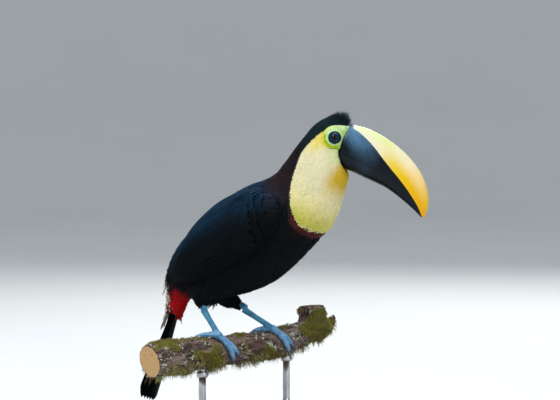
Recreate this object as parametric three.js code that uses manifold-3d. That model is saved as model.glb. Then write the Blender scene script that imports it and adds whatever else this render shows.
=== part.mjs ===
// A life-size Choco toucan (Ramphastos brevis) perched on a short cut branch, which two rods hold over
// a round base. Millimetres, +Z up. The origin is the centre of the base's underside. The bird faces +X
// and its trunk is symmetric about the plane Y = 0; the neck turns the head a little towards +Y.
import * as THREE from "three";
import { mergeVertices } from "three/addons/utils/BufferGeometryUtils.js";
import Module from "manifold-3d";

const wasm = await Module();
wasm.setup();

// Driving dimensions
const GAP = 0.3; // between pieces that meet
const BASE_RADIUS = 120;
const BASE_HEIGHT = 16;
const BASE_BEVEL = 3;
const ROD_RADIUS = 4;
const ROD_PLACES = [0.27, 0.72]; // share of the perch's length, from its near end
const BODY_SIDES = 24;
const BODY_RINGS = 32; // over the whole length, from the tail coverts to the bill
const BILL_SIDES = 20;
const BILL_RINGS = 15;
const BEAK_KEEL = 0.16; // how much narrower a bill's section is at its top
const BEAK_SQUARENESS = 0.72; // the power that squares its lower half; 1 leaves it round
const EYE_RADIUS = 7.2;
const EYE_AT = { x: 105.8, z: 323.4, out: 14.4 }; // in the head's own upright plane
const TARSUS_RADIUS = 3.1;
const HUB_RADIUS = 4.6; // the joint where the toes meet
const TOE_RADIUS = 3.0;
const CLAW_LENGTH = 9.5;
const TAIL_LENGTH = 131;
const TAIL_LEAN = 17; // degrees from plumb, with the tip to the rear
const TURN_AXIS_X = 85; // the neck turns the head about the upright line through this x

// Cross-sections of the flesh in the bird's upright middle plane. Each is [top x, top z, bottom x,
// bottom z, half width, turn in degrees], from the end of the tail coverts to the foot of the bill.
const BODY_SECTIONS = [
  [-97, 131, -79, 125, 16, 0],
  [-93.5, 152, -71, 143, 21, 0],
  [-87, 180, -58, 144, 28, 0],
  [-75, 205, -38, 144, 34, 0],
  [-53, 229, -12, 147, 38.5, 0],
  [-24, 255, 16, 155, 40.5, 0],
  [4, 270.5, 40, 167, 40.5, 0],
  [27, 278.5, 64, 187, 38.5, 0],
  [41, 286, 85, 207, 34.5, 2],
  [51, 298, 102, 221, 30.5, 5],
  [61.5, 311.5, 113.5, 244, 27.5, 9],
  [72, 324, 119, 265, 25.5, 12],
  [86, 339, 122.6, 280.7, 22.3, 14.5],
  [107, 348, 117, 289.5, 18.4, 15],
  [123.5, 339, 107.8, 295, 15.2, 15],
];
const LAST_BODY = BODY_SECTIONS.length - 1;
// Where the flesh is parted, counted in sections
const RUMP_END = 2.0;
const TRUNK_END = 8.0;
const NECK_END = 11.4;

// The same for the whole bill, from its foot to its tip
const BILL_SECTIONS = [
  [124.3, 337.5, 107.4, 294, 15.9, 15],
  [138.5, 335.3, 125, 286, 15.4, 15],
  [154, 328.8, 143, 277.5, 14.4, 15],
  [171, 318, 160, 270, 12.8, 15],
  [185, 306.5, 174, 260.5, 11, 15],
  [197, 292.5, 185, 251.5, 9, 15],
  [205, 278, 193.2, 244.5, 7, 15],
  [208.6, 264.5, 198.8, 239, 5, 15],
  [209, 251.5, 201.4, 236, 3.2, 15],
  [206.4, 241, 202.8, 234.8, 1.2, 15],
];
// The line where the two halves of the bill meet, as x and z in the head's upright plane
const MOUTH_LINE = [
  [100, 309.5],
  [118.5, 305.5],
  [135, 298],
  [149, 291],
  [163.2, 282.6],
  [180, 270.5],
  [191.1, 257.3],
  [198, 246],
  [203.5, 232],
];

// The folded wing's edges, as [section, upper edge, lower edge], where an edge is its share of the way
// from the back to the belly
const WING_EDGES = [
  [1.25, 0.1, 0.24],
  [2, 0.04, 0.46],
  [3, 0.035, 0.58],
  [4, 0.04, 0.64],
  [5, 0.06, 0.66],
  [6, 0.11, 0.645],
  [7, 0.19, 0.6],
  [7.6, 0.27, 0.55],
  [7.85, 0.34, 0.49],
];
const WING_THICKNESS = 5;
const WING_EDGE_THICKNESS = 1.4;
const WING_CLEARANCE = 1.2; // between the wing and the trunk

// The perch's middle line and radius, from its near end to its far end
const PERCH_LINE = [
  [-59.2, -113, 84, 18.5],
  [-20.1, -33.1, 88.6, 17],
  [16.1, 40.8, 93.6, 15.6],
  [36, 83, 104, 14.6],
  [54, 120, 119.5, 13.5],
];
const PERCH_SIDES = 16;
const TWIG = { at: 0.83, direction: [-0.25, 0.35, 0.9], radius: 5.5, length: 30 };

// Legs: the ankle, and the share of the perch's length where the foot grips it
const LEGS = {
  right: { ankle: [-41.8, -17.5, 132], knee: [-45, -23, 161], grip: 0.329 },
  left: { ankle: [-11.7, 20, 132], knee: [-46, 24, 155], grip: 0.628 },
};
const ANKLE_RADIUS = 5;
const KNEE_RADIUS = 15.5;
const HUB_ANGLE = 28; // where the toes meet, in degrees round the perch from its top to its front
// Each toe: [name, the angle round the perch where it ends, its splay along the perch], in degrees
const TOES = [
  ["inner_front", 94, 38],
  ["outer_front", 114, 24],
  ["outer_back", -52, 6],
  ["inner_back", -30, 38],
];

const radians = THREE.MathUtils.degToRad;
const vector = (x, y, z) => new THREE.Vector3(x, y, z);

// Small tools

// A smooth value between the numbers in one column of a table, where place counts its rows.
function between(table, column, place) {
  const line = new THREE.SplineCurve(table.map((row, i) => new THREE.Vector2(i, row[column])));
  return line.getPoint(place / (table.length - 1)).y;
}

// A closed solid over rings of points, with a flat fan over the first and the last ring.
function skinOver(rings) {
  const sides = rings[0].length;
  const points = rings.flat();
  const faces = [];
  for (let i = 0; i + 1 < rings.length; i++) {
    for (let j = 0; j < sides; j++) {
      const a = i * sides + j;
      const b = i * sides + ((j + 1) % sides);
      faces.push(a, b, b + sides, a, b + sides, a + sides);
    }
  }
  const last = (rings.length - 1) * sides;
  const hubs = [rings[0], rings.at(-1)].map((ring) => {
    const middle = ring.reduce((sum, p) => sum.add(p), vector(0, 0, 0)).divideScalar(sides);
    return points.push(middle) - 1;
  });
  for (let j = 0; j < sides; j++) {
    const k = (j + 1) % sides;
    faces.push(hubs[0], k, j, hubs[1], last + j, last + k);
  }
  return outwards(points, faces);
}

// The solid of these points and faces, turned inside out if its volume comes out negative.
function outwards(points, faces) {
  const volume = faces.reduce((sum, _, i) => {
    if (i % 3) return sum;
    const [a, b, c] = [0, 1, 2].map((k) => points[faces[i + k]]);
    return sum + a.dot(b.clone().cross(c));
  }, 0);
  const geometry = new THREE.BufferGeometry().setFromPoints(points);
  geometry.setIndex(volume < 0 ? faces.toReversed() : faces);
  return solidOf(geometry);
}

// A three.js geometry as a manifold-3d solid.
function solidOf(geometry) {
  const bare = geometry.clone();
  bare.deleteAttribute("normal");
  bare.deleteAttribute("uv");
  const merged = mergeVertices(bare, 1e-4);
  return new wasm.Manifold(
    new wasm.Mesh({
      numProp: 3,
      vertProperties: new Float32Array(merged.attributes.position.array),
      triVerts: new Uint32Array(merged.index.array),
    }),
  );
}

// A manifold-3d solid as a three.js geometry.
function geometryOf(solid) {
  const mesh = solid.getMesh();
  const geometry = new THREE.BufferGeometry();
  geometry.setAttribute("position", new THREE.BufferAttribute(mesh.vertProperties, mesh.numProp));
  geometry.setIndex(new THREE.BufferAttribute(mesh.triVerts, 1));
  geometry.computeVertexNormals();
  return geometry;
}

// A round tube that changes in radius along a smooth line through the points.
function taperedTube(points, radii, sides, steps) {
  const line = new THREE.CatmullRomCurve3(points);
  const frames = line.computeFrenetFrames(steps);
  const widths = radii.map((radius) => [radius]);
  const rings = [];
  for (let i = 0; i <= steps; i++) {
    const share = i / steps;
    const middle = line.getPointAt(share);
    const radius = between(widths, 0, share * (radii.length - 1));
    rings.push(circleOf(middle, frames.normals[i], frames.binormals[i], radius, sides));
  }
  return skinOver(rings);
}

function circleOf(middle, across, up, radius, sides) {
  return Array.from({ length: sides }, (_, j) => {
    const angle = (2 * Math.PI * j) / sides;
    return middle
      .clone()
      .addScaledVector(across, radius * Math.cos(angle))
      .addScaledVector(up, radius * Math.sin(angle));
  });
}

function ball(middle, radius) {
  const geometry = new THREE.SphereGeometry(radius, 14, 10);
  geometry.translate(middle.x, middle.y, middle.z);
  return solidOf(geometry);
}

// Turns a point of the bird's upright middle plane about the neck's upright line.
function turned(point, degrees) {
  const pivot = vector(TURN_AXIS_X, 0, 0);
  return point.clone().sub(pivot).applyAxisAngle(vector(0, 0, 1), radians(degrees)).add(pivot);
}

// Flesh and bill: rings between a top and a bottom line

// A point on the surface of a table of sections. Angle 0 is the top and pi the bottom, by way of the
// bird's right side. Offset moves it out. A beak's section has a keel on top and squarer lower sides.
function sectionPoint(table, place, angle, offset = 0, beak = false) {
  const at = (column) => between(table, column, place);
  const top = vector(at(0), 0, at(1));
  const bottom = vector(at(2), 0, at(3));
  const up = top.clone().sub(bottom);
  const height = up.length() / 2 + offset;
  let [rise, side] = [Math.cos(angle), Math.sin(angle)];
  if (beak && rise < 0) {
    rise = -(Math.abs(rise) ** BEAK_SQUARENESS);
    side = Math.sign(side) * Math.abs(side) ** BEAK_SQUARENESS;
  }
  const width = (at(4) + offset) * (beak ? 1 - BEAK_KEEL * Math.max(0, rise) : 1);
  const point = top.add(bottom).multiplyScalar(0.5);
  point.addScaledVector(up.normalize(), height * rise);
  point.y -= width * side;
  return turned(point, at(5));
}

// The solid between two places of a table of sections. Each end keeps half a gap to what is cut there.
function stretch(table, from, to, rings, sides, offset = 0, beak = false) {
  const made = [];
  for (let i = 0; i <= rings; i++) {
    const place = from + ((to - from) * i) / rings;
    made.push(
      Array.from({ length: sides }, (_, j) =>
        sectionPoint(table, place, (2 * Math.PI * j) / sides, offset, beak),
      ),
    );
  }
  drawBack(made[0], made[1]);
  drawBack(made.at(-1), made.at(-2));
  return skinOver(made);
}

// Moves a flat end ring half a gap along its own normal, towards the ring next to it.
function drawBack(ring, next) {
  const normal = new THREE.Plane().setFromCoplanarPoints(ring[0], ring[5], ring[11]).normal;
  const middle = (points) => points[0].clone().add(points[points.length / 2]).multiplyScalar(0.5);
  const inward = middle(next).sub(middle(ring)).dot(normal) < 0 ? -1 : 1;
  ring.forEach((point) => point.addScaledVector(normal, (inward * GAP) / 2));
}

function fleshPiece(from, to, offset = 0) {
  const rings = Math.max(3, Math.round(((to - from) * BODY_RINGS) / LAST_BODY));
  return stretch(BODY_SECTIONS, from, to, rings, BODY_SIDES, offset);
}

// The part of the head's upright plane below the mouth line, as a slab through the whole head.
function belowMouth(drop) {
  const outline = new THREE.Shape();
  const line = new THREE.SplineCurve(MOUTH_LINE.map(([x, z]) => new THREE.Vector2(x, z - drop)));
  const points = line.getPoints(24);
  const lowest = 150;
  outline.moveTo(points[0].x, lowest);
  points.forEach((point) => outline.lineTo(point.x, point.y));
  outline.lineTo(points.at(-1).x, lowest);
  const depth = 80;
  const geometry = new THREE.ExtrudeGeometry(outline, { depth, bevelEnabled: false });
  geometry.translate(0, 0, -depth / 2);
  geometry.rotateX(Math.PI / 2);
  const pivot = new THREE.Matrix4().makeTranslation(TURN_AXIS_X, 0, 0);
  const turn = new THREE.Matrix4().makeRotationZ(radians(15));
  geometry.applyMatrix4(pivot.clone().invert());
  geometry.applyMatrix4(turn);
  geometry.applyMatrix4(pivot);
  return solidOf(geometry);
}

function wholeBill(offset = 0) {
  return stretch(BILL_SECTIONS, 0, BILL_SECTIONS.length - 1, BILL_RINGS, BILL_SIDES, offset, true);
}

function eyeCentre(side) {
  return turned(vector(EYE_AT.x, side * EYE_AT.out, EYE_AT.z), 15);
}

// Wing: a shell that lies on the flank, thickest in its middle
function wing(side) {
  const along = 17;
  const across = 6;
  const rows = WING_EDGES.length - 1;
  const point = (i, j, lift) => {
    const place = (rows * i) / along;
    const share = THREE.MathUtils.lerp(
      between(WING_EDGES, 1, place),
      between(WING_EDGES, 2, place),
      j / across,
    );
    const angle = Math.acos(1 - 2 * share);
    const found = sectionPoint(BODY_SECTIONS, between(WING_EDGES, 0, place), angle, lift);
    found.y *= -side;
    return found;
  };
  const swell = (i, j) => {
    const middle = Math.sin((Math.PI * j) / across) * Math.sin((Math.PI * (i + 2)) / (along + 4));
    return WING_EDGE_THICKNESS + (WING_THICKNESS - WING_EDGE_THICKNESS) * Math.sqrt(Math.max(0, middle));
  };
  const rings = [];
  for (let i = 0; i <= along; i++) {
    const outer = [];
    const inner = [];
    for (let j = 0; j <= across; j++) {
      outer.push(point(i, j, WING_CLEARANCE + swell(i, j)));
      inner.unshift(point(i, j, WING_CLEARANCE));
    }
    rings.push([...outer, ...inner]);
  }
  return skinOver(rings);
}

// Tail: a shallow roof of overlapping feathers, with rounded corners at its tip
function tail() {
  const lean = radians(TAIL_LEAN);
  const along = vector(-Math.sin(lean), 0, -Math.cos(lean));
  const back = vector(-Math.cos(lean), 0, Math.sin(lean));
  const root = vector(-87.5, 0, 126.5);
  const length = TAIL_LENGTH - 30; // the rest lies under the coverts
  const steps = 12;
  const sides = 14;
  const rings = [];
  for (let i = 0; i <= steps; i++) {
    const share = i / steps;
    const rounding = Math.sqrt(Math.max(0.12, 1 - Math.max(0, (share - 0.86) / 0.14) ** 2));
    const halfWidth = (14 + 12 * Math.sin((share * Math.PI) / 2)) * rounding;
    const halfThick = THREE.MathUtils.lerp(4.2, 1.6, share);
    rings.push(
      Array.from({ length: sides }, (_, j) => {
        const angle = (2 * Math.PI * j) / sides;
        const y = halfWidth * Math.cos(angle);
        const arch = 4 - 0.011 * y * y;
        return root
          .clone()
          .addScaledVector(along, share * length)
          .addScaledVector(back, arch + halfThick * Math.sin(angle) - 4)
          .setY(y);
      }),
    );
  }
  return skinOver(rings);
}

// Perch, and the frame of a foot on it
const perchCurve = new THREE.CatmullRomCurve3(PERCH_LINE.map(([x, y, z]) => vector(x, y, z)));
const perchRadius = (share) => between(PERCH_LINE, 3, share * (PERCH_LINE.length - 1));

function perch(extra = 0) {
  const radii = PERCH_LINE.map((row) => row[3] + extra);
  const points = PERCH_LINE.map(([x, y, z]) => vector(x, y, z));
  const branch = taperedTube(points, radii, PERCH_SIDES, 13);
  const root = perchCurve.getPointAt(TWIG.at);
  const tip = root
    .clone()
    .addScaledVector(vector(...TWIG.direction).normalize(), TWIG.length + extra);
  const twigRadii = [TWIG.radius + 1.5 + extra, TWIG.radius + extra];
  return branch.add(taperedTube([root, tip], twigRadii, 10, 2));
}

function gripFrame(share) {
  const along = perchCurve.getTangentAt(share);
  const up = vector(0, 0, 1).addScaledVector(along, -along.z).normalize();
  const forward = along.clone().cross(up);
  return { centre: perchCurve.getPointAt(share), along, up, forward, radius: perchRadius(share) };
}

function hubOf(grip) {
  return roundPerch(grip, HUB_ANGLE, HUB_RADIUS + 0.4);
}

// A point at an angle round the perch from its top to its front, this far out from the bark.
function roundPerch(grip, degrees, lift, sideways = 0) {
  const reach = grip.radius + lift;
  return grip.centre
    .clone()
    .addScaledVector(grip.up, reach * Math.cos(radians(degrees)))
    .addScaledVector(grip.forward, reach * Math.sin(radians(degrees)))
    .addScaledVector(grip.along, sideways);
}

// The middle line of a toe round the perch, from the hub on, and of the claw beyond it.
function toeLine(grip, [, end, splay], from, to, steps, lift = 0) {
  return Array.from({ length: steps + 1 }, (_, i) => {
    const share = THREE.MathUtils.lerp(from, to, i / steps);
    const turn = (end - HUB_ANGLE) * share;
    const settle = Math.exp(-share * 6); // the toe comes down from the hub on to the bark
    const spacing = THREE.MathUtils.lerp(TOE_RADIUS + GAP, HUB_RADIUS, settle) + 0.2 + lift;
    const sideways = Math.tan(radians(splay)) * (grip.radius + spacing) * radians(turn);
    return roundPerch(grip, HUB_ANGLE + turn, spacing, sideways);
  });
}

function foot(grip, shankRoom) {
  const toes = TOES.map((toe) =>
    taperedTube(toeLine(grip, toe, 0, 1, 7), [3.6, TOE_RADIUS, TOE_RADIUS, 2.4], 8, 7),
  );
  return toes.reduce((made, toe) => made.add(toe), ball(hubOf(grip), HUB_RADIUS)).subtract(shankRoom);
}

// A claw starts a gap beyond the toe's end and curves down off the bark.
function claw(grip, toe) {
  const span = Math.abs(radians(toe[1] - HUB_ANGLE)) * (grip.radius + TOE_RADIUS);
  const start = 1 + (2 * GAP) / span;
  const end = 1 + CLAW_LENGTH / span;
  const points = toeLine(grip, toe, start, end, 4, -0.4);
  return taperedTube(points, [1.9, 1.5, 1, 0.45], 6, 5);
}

// The bare leg, from the ankle into the hub of the toes. Extra makes the room that it needs there.
function shank(ankle, grip, extra = 0) {
  const hub = hubOf(grip);
  const down = hub.clone().sub(ankle).normalize();
  const start = ankle.clone().addScaledVector(down, -extra);
  const end = hub.clone().addScaledVector(down, extra - HUB_RADIUS / 2);
  const radii = [3.9, TARSUS_RADIUS, TARSUS_RADIUS, 3.3].map((radius) => radius + extra);
  return taperedTube([start, ankle.clone().lerp(hub, 0.5), end], radii, 10, 5);
}

function thigh(knee, ankle) {
  const down = ankle.clone().sub(knee);
  const end = ankle.clone().addScaledVector(down.clone().normalize(), -2.2);
  const bend = knee.clone().lerp(end, 0.55);
  return taperedTube([knee, bend, end], [KNEE_RADIUS, 12, ANKLE_RADIUS], 14, 6);
}

// Stand
function base() {
  const rim = BASE_RADIUS - BASE_BEVEL;
  const profile = [
    [0, 0],
    [BASE_RADIUS - 1, 0],
    [BASE_RADIUS, 1],
    [BASE_RADIUS, BASE_HEIGHT - BASE_BEVEL],
    [rim, BASE_HEIGHT],
    [0, BASE_HEIGHT],
  ].map(([r, z]) => new THREE.Vector2(r, z));
  const geometry = new THREE.LatheGeometry(profile, 36);
  geometry.rotateX(Math.PI / 2);
  return solidOf(geometry);
}

function rod(share) {
  const top = perchCurve.getPointAt(share);
  const height = top.z - BASE_HEIGHT;
  const geometry = new THREE.CylinderGeometry(ROD_RADIUS, ROD_RADIUS, height, 20);
  geometry.rotateX(Math.PI / 2);
  geometry.translate(top.x, top.y, BASE_HEIGHT + height / 2);
  return solidOf(geometry).subtract(perch(GAP));
}

// Assembly
const FINISH = {
  plumage: [0x0b0d14, 0.55, 0],
  bib: [0xe9de96, 0.75, 0],
  bill: [0x14161d, 0.35, 0],
  culmen: [0xf3d34a, 0.35, 0],
  eye: [0x0c1a24, 0.08, 0],
  legs: [0x5d9ccb, 0.5, 0],
  claw: [0x2a3038, 0.4, 0],
  bark: [0x6d5a48, 0.9, 0],
  metal: [0x9a9da0, 0.3, 1],
  wood: [0x4a3324, 0.45, 0],
};
const bird = new THREE.Group();

function add(name, solid, finish) {
  const [color, roughness, metalness] = FINISH[finish];
  const material = new THREE.MeshStandardMaterial({ color, roughness, metalness });
  const mesh = new THREE.Mesh(geometryOf(solid), material);
  mesh.name = name;
  bird.add(mesh);
}

const trunkRoom = fleshPiece(RUMP_END - 0.3, TRUNK_END + 0.3, GAP);
const rumpRoom = fleshPiece(0, RUMP_END + 0.1, GAP);
const bill = wholeBill();
const roundBill = wholeBill(GAP);
const eyes = { right: eyeCentre(-1), left: eyeCentre(1) };

add("stand_base", base(), "wood");
add("stand_rod_near", rod(ROD_PLACES[0]), "metal");
add("stand_rod_far", rod(ROD_PLACES[1]), "metal");
add("perch", perch(), "bark");

add("rump", fleshPiece(0, RUMP_END), "plumage");
add("trunk", fleshPiece(RUMP_END, TRUNK_END), "plumage");
add("neck", fleshPiece(TRUNK_END, NECK_END), "bib");
const skull = fleshPiece(NECK_END, LAST_BODY).subtract(roundBill);
const sockets = ball(eyes.right, EYE_RADIUS + GAP).add(ball(eyes.left, EYE_RADIUS + GAP));
add("head", skull.subtract(sockets), "bib");
add("eye_right", ball(eyes.right, EYE_RADIUS), "eye");
add("eye_left", ball(eyes.left, EYE_RADIUS), "eye");
add("bill_upper", bill.subtract(belowMouth(-GAP / 2)), "culmen");
add("bill_lower", bill.intersect(belowMouth(GAP / 2)), "bill");
add("wing_right", wing(-1), "plumage");
add("wing_left", wing(1), "plumage");
add("tail", tail().subtract(rumpRoom), "plumage");

for (const [name, leg] of Object.entries(LEGS)) {
  const grip = gripFrame(leg.grip);
  const ankle = vector(...leg.ankle);
  const knee = vector(...leg.knee);
  const shankRoom = shank(ankle, grip, GAP);
  const rooms = [trunkRoom, rumpRoom, shankRoom];
  const drumstick = rooms.reduce((made, room) => made.subtract(room), thigh(knee, ankle));
  add("thigh_" + name, drumstick, "plumage");
  add("shank_" + name, shank(ankle, grip), "legs");
  add("foot_" + name, foot(grip, shankRoom), "legs");
  for (const toe of TOES) add("claw_" + name + "_" + toe[0], claw(grip, toe), "claw");
}

export default bird;
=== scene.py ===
import math

import bmesh
import bpy
import numpy as np
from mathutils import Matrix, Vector, noise
from mathutils.bvhtree import BVHTree
from mathutils.kdtree import KDTree


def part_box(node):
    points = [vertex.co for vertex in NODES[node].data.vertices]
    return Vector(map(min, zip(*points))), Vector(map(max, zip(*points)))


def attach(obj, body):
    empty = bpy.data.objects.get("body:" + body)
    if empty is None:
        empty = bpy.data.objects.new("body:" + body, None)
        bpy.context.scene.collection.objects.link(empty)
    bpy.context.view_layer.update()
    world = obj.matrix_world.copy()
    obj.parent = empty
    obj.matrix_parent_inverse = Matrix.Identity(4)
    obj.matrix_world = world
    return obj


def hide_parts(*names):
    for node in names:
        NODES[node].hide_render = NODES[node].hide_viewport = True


# The looks of a life-size Choco toucan that grips a short cut branch on a display stand. The bird's skin
# is one mesh over the CAD flesh, and every feather is a closed mesh vane whose root is on that skin.
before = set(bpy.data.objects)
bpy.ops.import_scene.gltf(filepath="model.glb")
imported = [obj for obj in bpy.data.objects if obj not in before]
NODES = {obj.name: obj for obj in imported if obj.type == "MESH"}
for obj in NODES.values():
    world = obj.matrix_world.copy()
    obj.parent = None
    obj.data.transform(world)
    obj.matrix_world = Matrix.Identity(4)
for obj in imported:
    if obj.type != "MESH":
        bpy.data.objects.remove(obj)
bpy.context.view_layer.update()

MM = 0.001
SEED = 11
SIDES = ("right", "left")


# ---------------------------------------------------------------- small tools

def unit(vectors):
    """Vectors along the last axis, each made one long."""
    lengths = np.linalg.norm(vectors, axis=-1, keepdims=True)
    return vectors / np.maximum(lengths, 1e-12)


def smoothstep(low, high, value):
    share = np.clip((value - low) / (high - low), 0, 1)
    return share * share * (3 - 2 * share)


def dots(a, b):
    return np.sum(a * b, axis=-1)


def full_turn(count):
    """Angles all the way round, in equal steps."""
    return np.linspace(0, 2 * math.pi, count, endpoint=False)


def around(one, other, turns):
    """Directions turned from one direction towards another by angles."""
    return one * np.cos(turns)[..., None] + other * np.sin(turns)[..., None]


def run_along(line):
    """How far each point of a line is from its start, along it."""
    return np.append(0, np.cumsum(np.linalg.norm(np.diff(line, axis=0), axis=1)))


def linear(red, green, blue):
    """A colour given as on a screen, 0 to 255, in the linear values that Blender's sockets take."""
    return np.array([((c / 255 + 0.055) / 1.055) ** 2.4 if c > 10 else c / 255 / 12.92
                     for c in (red, green, blue)])


def spline(places, values, at):
    """A smooth curve through values at rising places, at many places at once."""
    places, values = np.asarray(places, float), np.asarray(values, float)
    slopes = np.gradient(values, places, axis=0)
    at = np.clip(at, places[0], places[-1])
    i = np.clip(np.searchsorted(places, at, side="right") - 1, 0, len(places) - 2)
    width = places[i + 1] - places[i]
    t = (at - places[i]) / width
    if values.ndim > 1:
        t, width = t[..., None], width[..., None]
    t2, t3 = t * t, t * t * t
    return ((2 * t3 - 3 * t2 + 1) * values[i] + (t3 - 2 * t2 + t) * width * slopes[i]
            + (3 * t2 - 2 * t3) * values[i + 1] + (t3 - t2) * width * slopes[i + 1])


def blurred(grid, reach, axis, closed=False):
    """A grid of numbers smoothed along one axis, by a bell curve of that reach in steps."""
    half = int(math.ceil(reach * 3))
    weights = np.exp(-0.5 * (np.arange(-half, half + 1) / reach) ** 2)
    weights /= weights.sum()
    pad = [(0, 0)] * grid.ndim
    pad[axis] = (half, half)
    if closed:
        padded = np.pad(grid, pad, mode="wrap")
    else:
        padded = np.pad(grid, pad, mode="reflect", reflect_type="odd")
    return np.apply_along_axis(lambda line: np.convolve(line, weights, "valid"), axis, padded)


def centre(node):
    low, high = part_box(node)
    return np.array((low + high) / 2)


def points_of(node):
    mesh = NODES[node].data
    found = np.empty(len(mesh.vertices) * 3)
    mesh.vertices.foreach_get("co", found)
    return np.unique(np.round(found.reshape(-1, 3), 7), axis=0)


def tree_of(*nodes):
    """One search tree over the faces of some CAD nodes."""
    points, faces = [], []
    for node in nodes:
        mesh = NODES[node].data
        start = len(points)
        points.extend(v.co.copy() for v in mesh.vertices)
        faces.extend([start + i for i in face.vertices] for face in mesh.polygons)
    return BVHTree.FromPolygons(points, faces)


def nearest(tree, points):
    """The nearest place on a tree for each point, with the face's normal there."""
    places, normals = np.empty((len(points), 3)), np.empty((len(points), 3))
    for i, point in enumerate(points):
        place, normal, _, _ = tree.find_nearest(Vector(point))
        places[i], normals[i] = place, normal
    return places, normals


def mesh_piece(name, points, faces, materials, smooth=True):
    """A mesh object from arrays. Faces all have the same number of corners."""
    mesh = bpy.data.meshes.new(name)
    count, corners = faces.shape
    mesh.vertices.add(len(points))
    mesh.vertices.foreach_set("co", np.asarray(points, np.float32).ravel())
    mesh.loops.add(count * corners)
    mesh.loops.foreach_set("vertex_index", faces.astype(np.int32).ravel())
    mesh.polygons.add(count)
    mesh.polygons.foreach_set("loop_start", np.arange(0, count * corners, corners, dtype=np.int32))
    mesh.polygons.foreach_set("use_smooth", np.full(count, smooth))
    for material in materials:
        mesh.materials.append(material)
    mesh.update(calc_edges=True)
    piece = bpy.data.objects.new(name, mesh)
    bpy.context.scene.collection.objects.link(piece)
    return piece


def loft_walls(count, sides):
    """Triangles between rings of points."""
    i, j = np.meshgrid(np.arange(count - 1), np.arange(sides), indexing="ij")
    a, b = i * sides + j, i * sides + (j + 1) % sides
    return np.stack([a, b, b + sides, a, b + sides, a + sides], axis=-1).reshape(-1, 3)


def closed_loft(rings):
    """Points and triangles of a tube through rings of points, with a fan over both ends."""
    count, sides = rings.shape[:2]
    start, end = count * sides, count * sides + 1
    ring = np.arange(sides)
    after = (ring + 1) % sides
    last = (count - 1) * sides
    low = np.stack([np.full(sides, start), after, ring], axis=-1)
    high = np.stack([np.full(sides, end), last + ring, last + after], axis=-1)
    points = np.concatenate([rings.reshape(-1, 3), [rings[0].mean(axis=0), rings[-1].mean(axis=0)]])
    return points, np.concatenate([loft_walls(count, sides), low, high])


def turned_rings(profile, sides, middle=(0, 0)):
    """Rings of points round an upright axis, from pairs of a radius and a height."""
    turns = full_turn(sides)
    return np.array([np.stack([middle[0] + r * np.cos(turns), middle[1] + r * np.sin(turns),
                               np.full(sides, z)], axis=-1) for r, z in profile])


def paint(piece, name, colours):
    """Stores one colour for each vertex."""
    layer = piece.data.color_attributes.new(name, "FLOAT_COLOR", "POINT")
    rgba = np.ones((len(colours), 4), np.float32)
    rgba[:, :3] = colours
    layer.data.foreach_set("color", rgba.ravel())


def keep_value(piece, name, values):
    """Stores one number for each vertex."""
    layer = piece.data.attributes.new(name, "FLOAT", "POINT")
    layer.data.foreach_set("value", np.asarray(values, np.float32))


def add_map(piece, name, places):
    """A UV map that gives each vertex one place."""
    mesh = piece.data
    corners = np.empty(len(mesh.loops), np.int32)
    mesh.loops.foreach_get("vertex_index", corners)
    layer = mesh.uv_layers.new(name=name)
    layer.data.foreach_set("uv", np.asarray(places, np.float32)[corners].ravel())


def joined(first, *others):
    """Meshes made one piece, under the first one's name."""
    with bpy.context.temp_override(active_object=first, selected_editable_objects=[first, *others]):
        bpy.ops.object.join()
    return first


def lumps(points, size, octaves=3):
    """Smooth random numbers, about -1 to 1, at places in space. The size is the largest lump's."""
    return np.array([noise.fractal(Vector(p), 1.0, 2.0, octaves) for p in points / size])


def settle(piece, slot, *nodes):
    """The piece rides on the model and stands for some CAD nodes, which it hides; the slot is not used."""
    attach(piece, "root")
    if nodes:
        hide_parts(*nodes)
    return piece


# ---------------------------------------------------------------- the bird's own directions

def seam_centre(node, other, reach=1.6 * MM):
    """The middle of the face where a CAD node meets its neighbour."""
    tree = KDTree(len(points_of(other)))
    for i, point in enumerate(points_of(other)):
        tree.insert(point, i)
    tree.balance()
    near = [p for p in points_of(node) if tree.find(p)[2] < reach]
    low, high = np.min(near, axis=0), np.max(near, axis=0)
    return (low + high) / 2


UP = np.array([0.0, 0.0, 1.0])
HEAD_SIDE = unit(centre("eye_left") - centre("eye_right"))
HEAD_FORWARD = np.cross(HEAD_SIDE, UP)
HEAD_MIDDLE = (centre("eye_left") + centre("eye_right")) / 2
EYE_SHIFT = (2.8 * HEAD_FORWARD - 0.2 * UP) * MM  # from the CAD's plain eyeballs to the finished ones
EYES = {side: centre("eye_" + side) + EYE_SHIFT for side in SIDES}

SPINE_KNOTS = np.array([
    seam_centre("rump", "tail", 4 * MM),
    seam_centre("rump", "trunk"),
    centre("trunk"),
    seam_centre("trunk", "neck"),
    seam_centre("neck", "head"),
    seam_centre("head", "bill_upper"),
])

SPINE_STEPS = 120
CLEAR_OF_BIRD = 120 * MM  # out from the spine, where every place is outside the bird
knot_gaps = np.linalg.norm(np.diff(SPINE_KNOTS, axis=0), axis=1)
SPINE_LENGTH = knot_gaps.sum()
SPINE_AT = np.linspace(0, 1, SPINE_STEPS)
SPINE = spline(np.append(0, np.cumsum(knot_gaps)) / SPINE_LENGTH, SPINE_KNOTS, SPINE_AT)
AHEAD = unit(np.gradient(SPINE, axis=0))
LEFT = unit(np.cross(UP, AHEAD))
BACK = np.cross(AHEAD, LEFT)
BILL_FOOT = SPINE_KNOTS[-1]


def head_places(points):
    """Places in the head's own frame, in mm: ahead of the eyes, above them, and out to either side."""
    offset = (points - HEAD_MIDDLE) / MM
    return offset @ HEAD_FORWARD, offset[:, 2], np.abs(offset @ HEAD_SIDE)


def spine_step(points):
    """The number of the spine's step nearest to each point."""
    squares = dots(SPINE, SPINE) - 2 * points @ SPINE.T
    return np.argmin(squares, axis=1)


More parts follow.
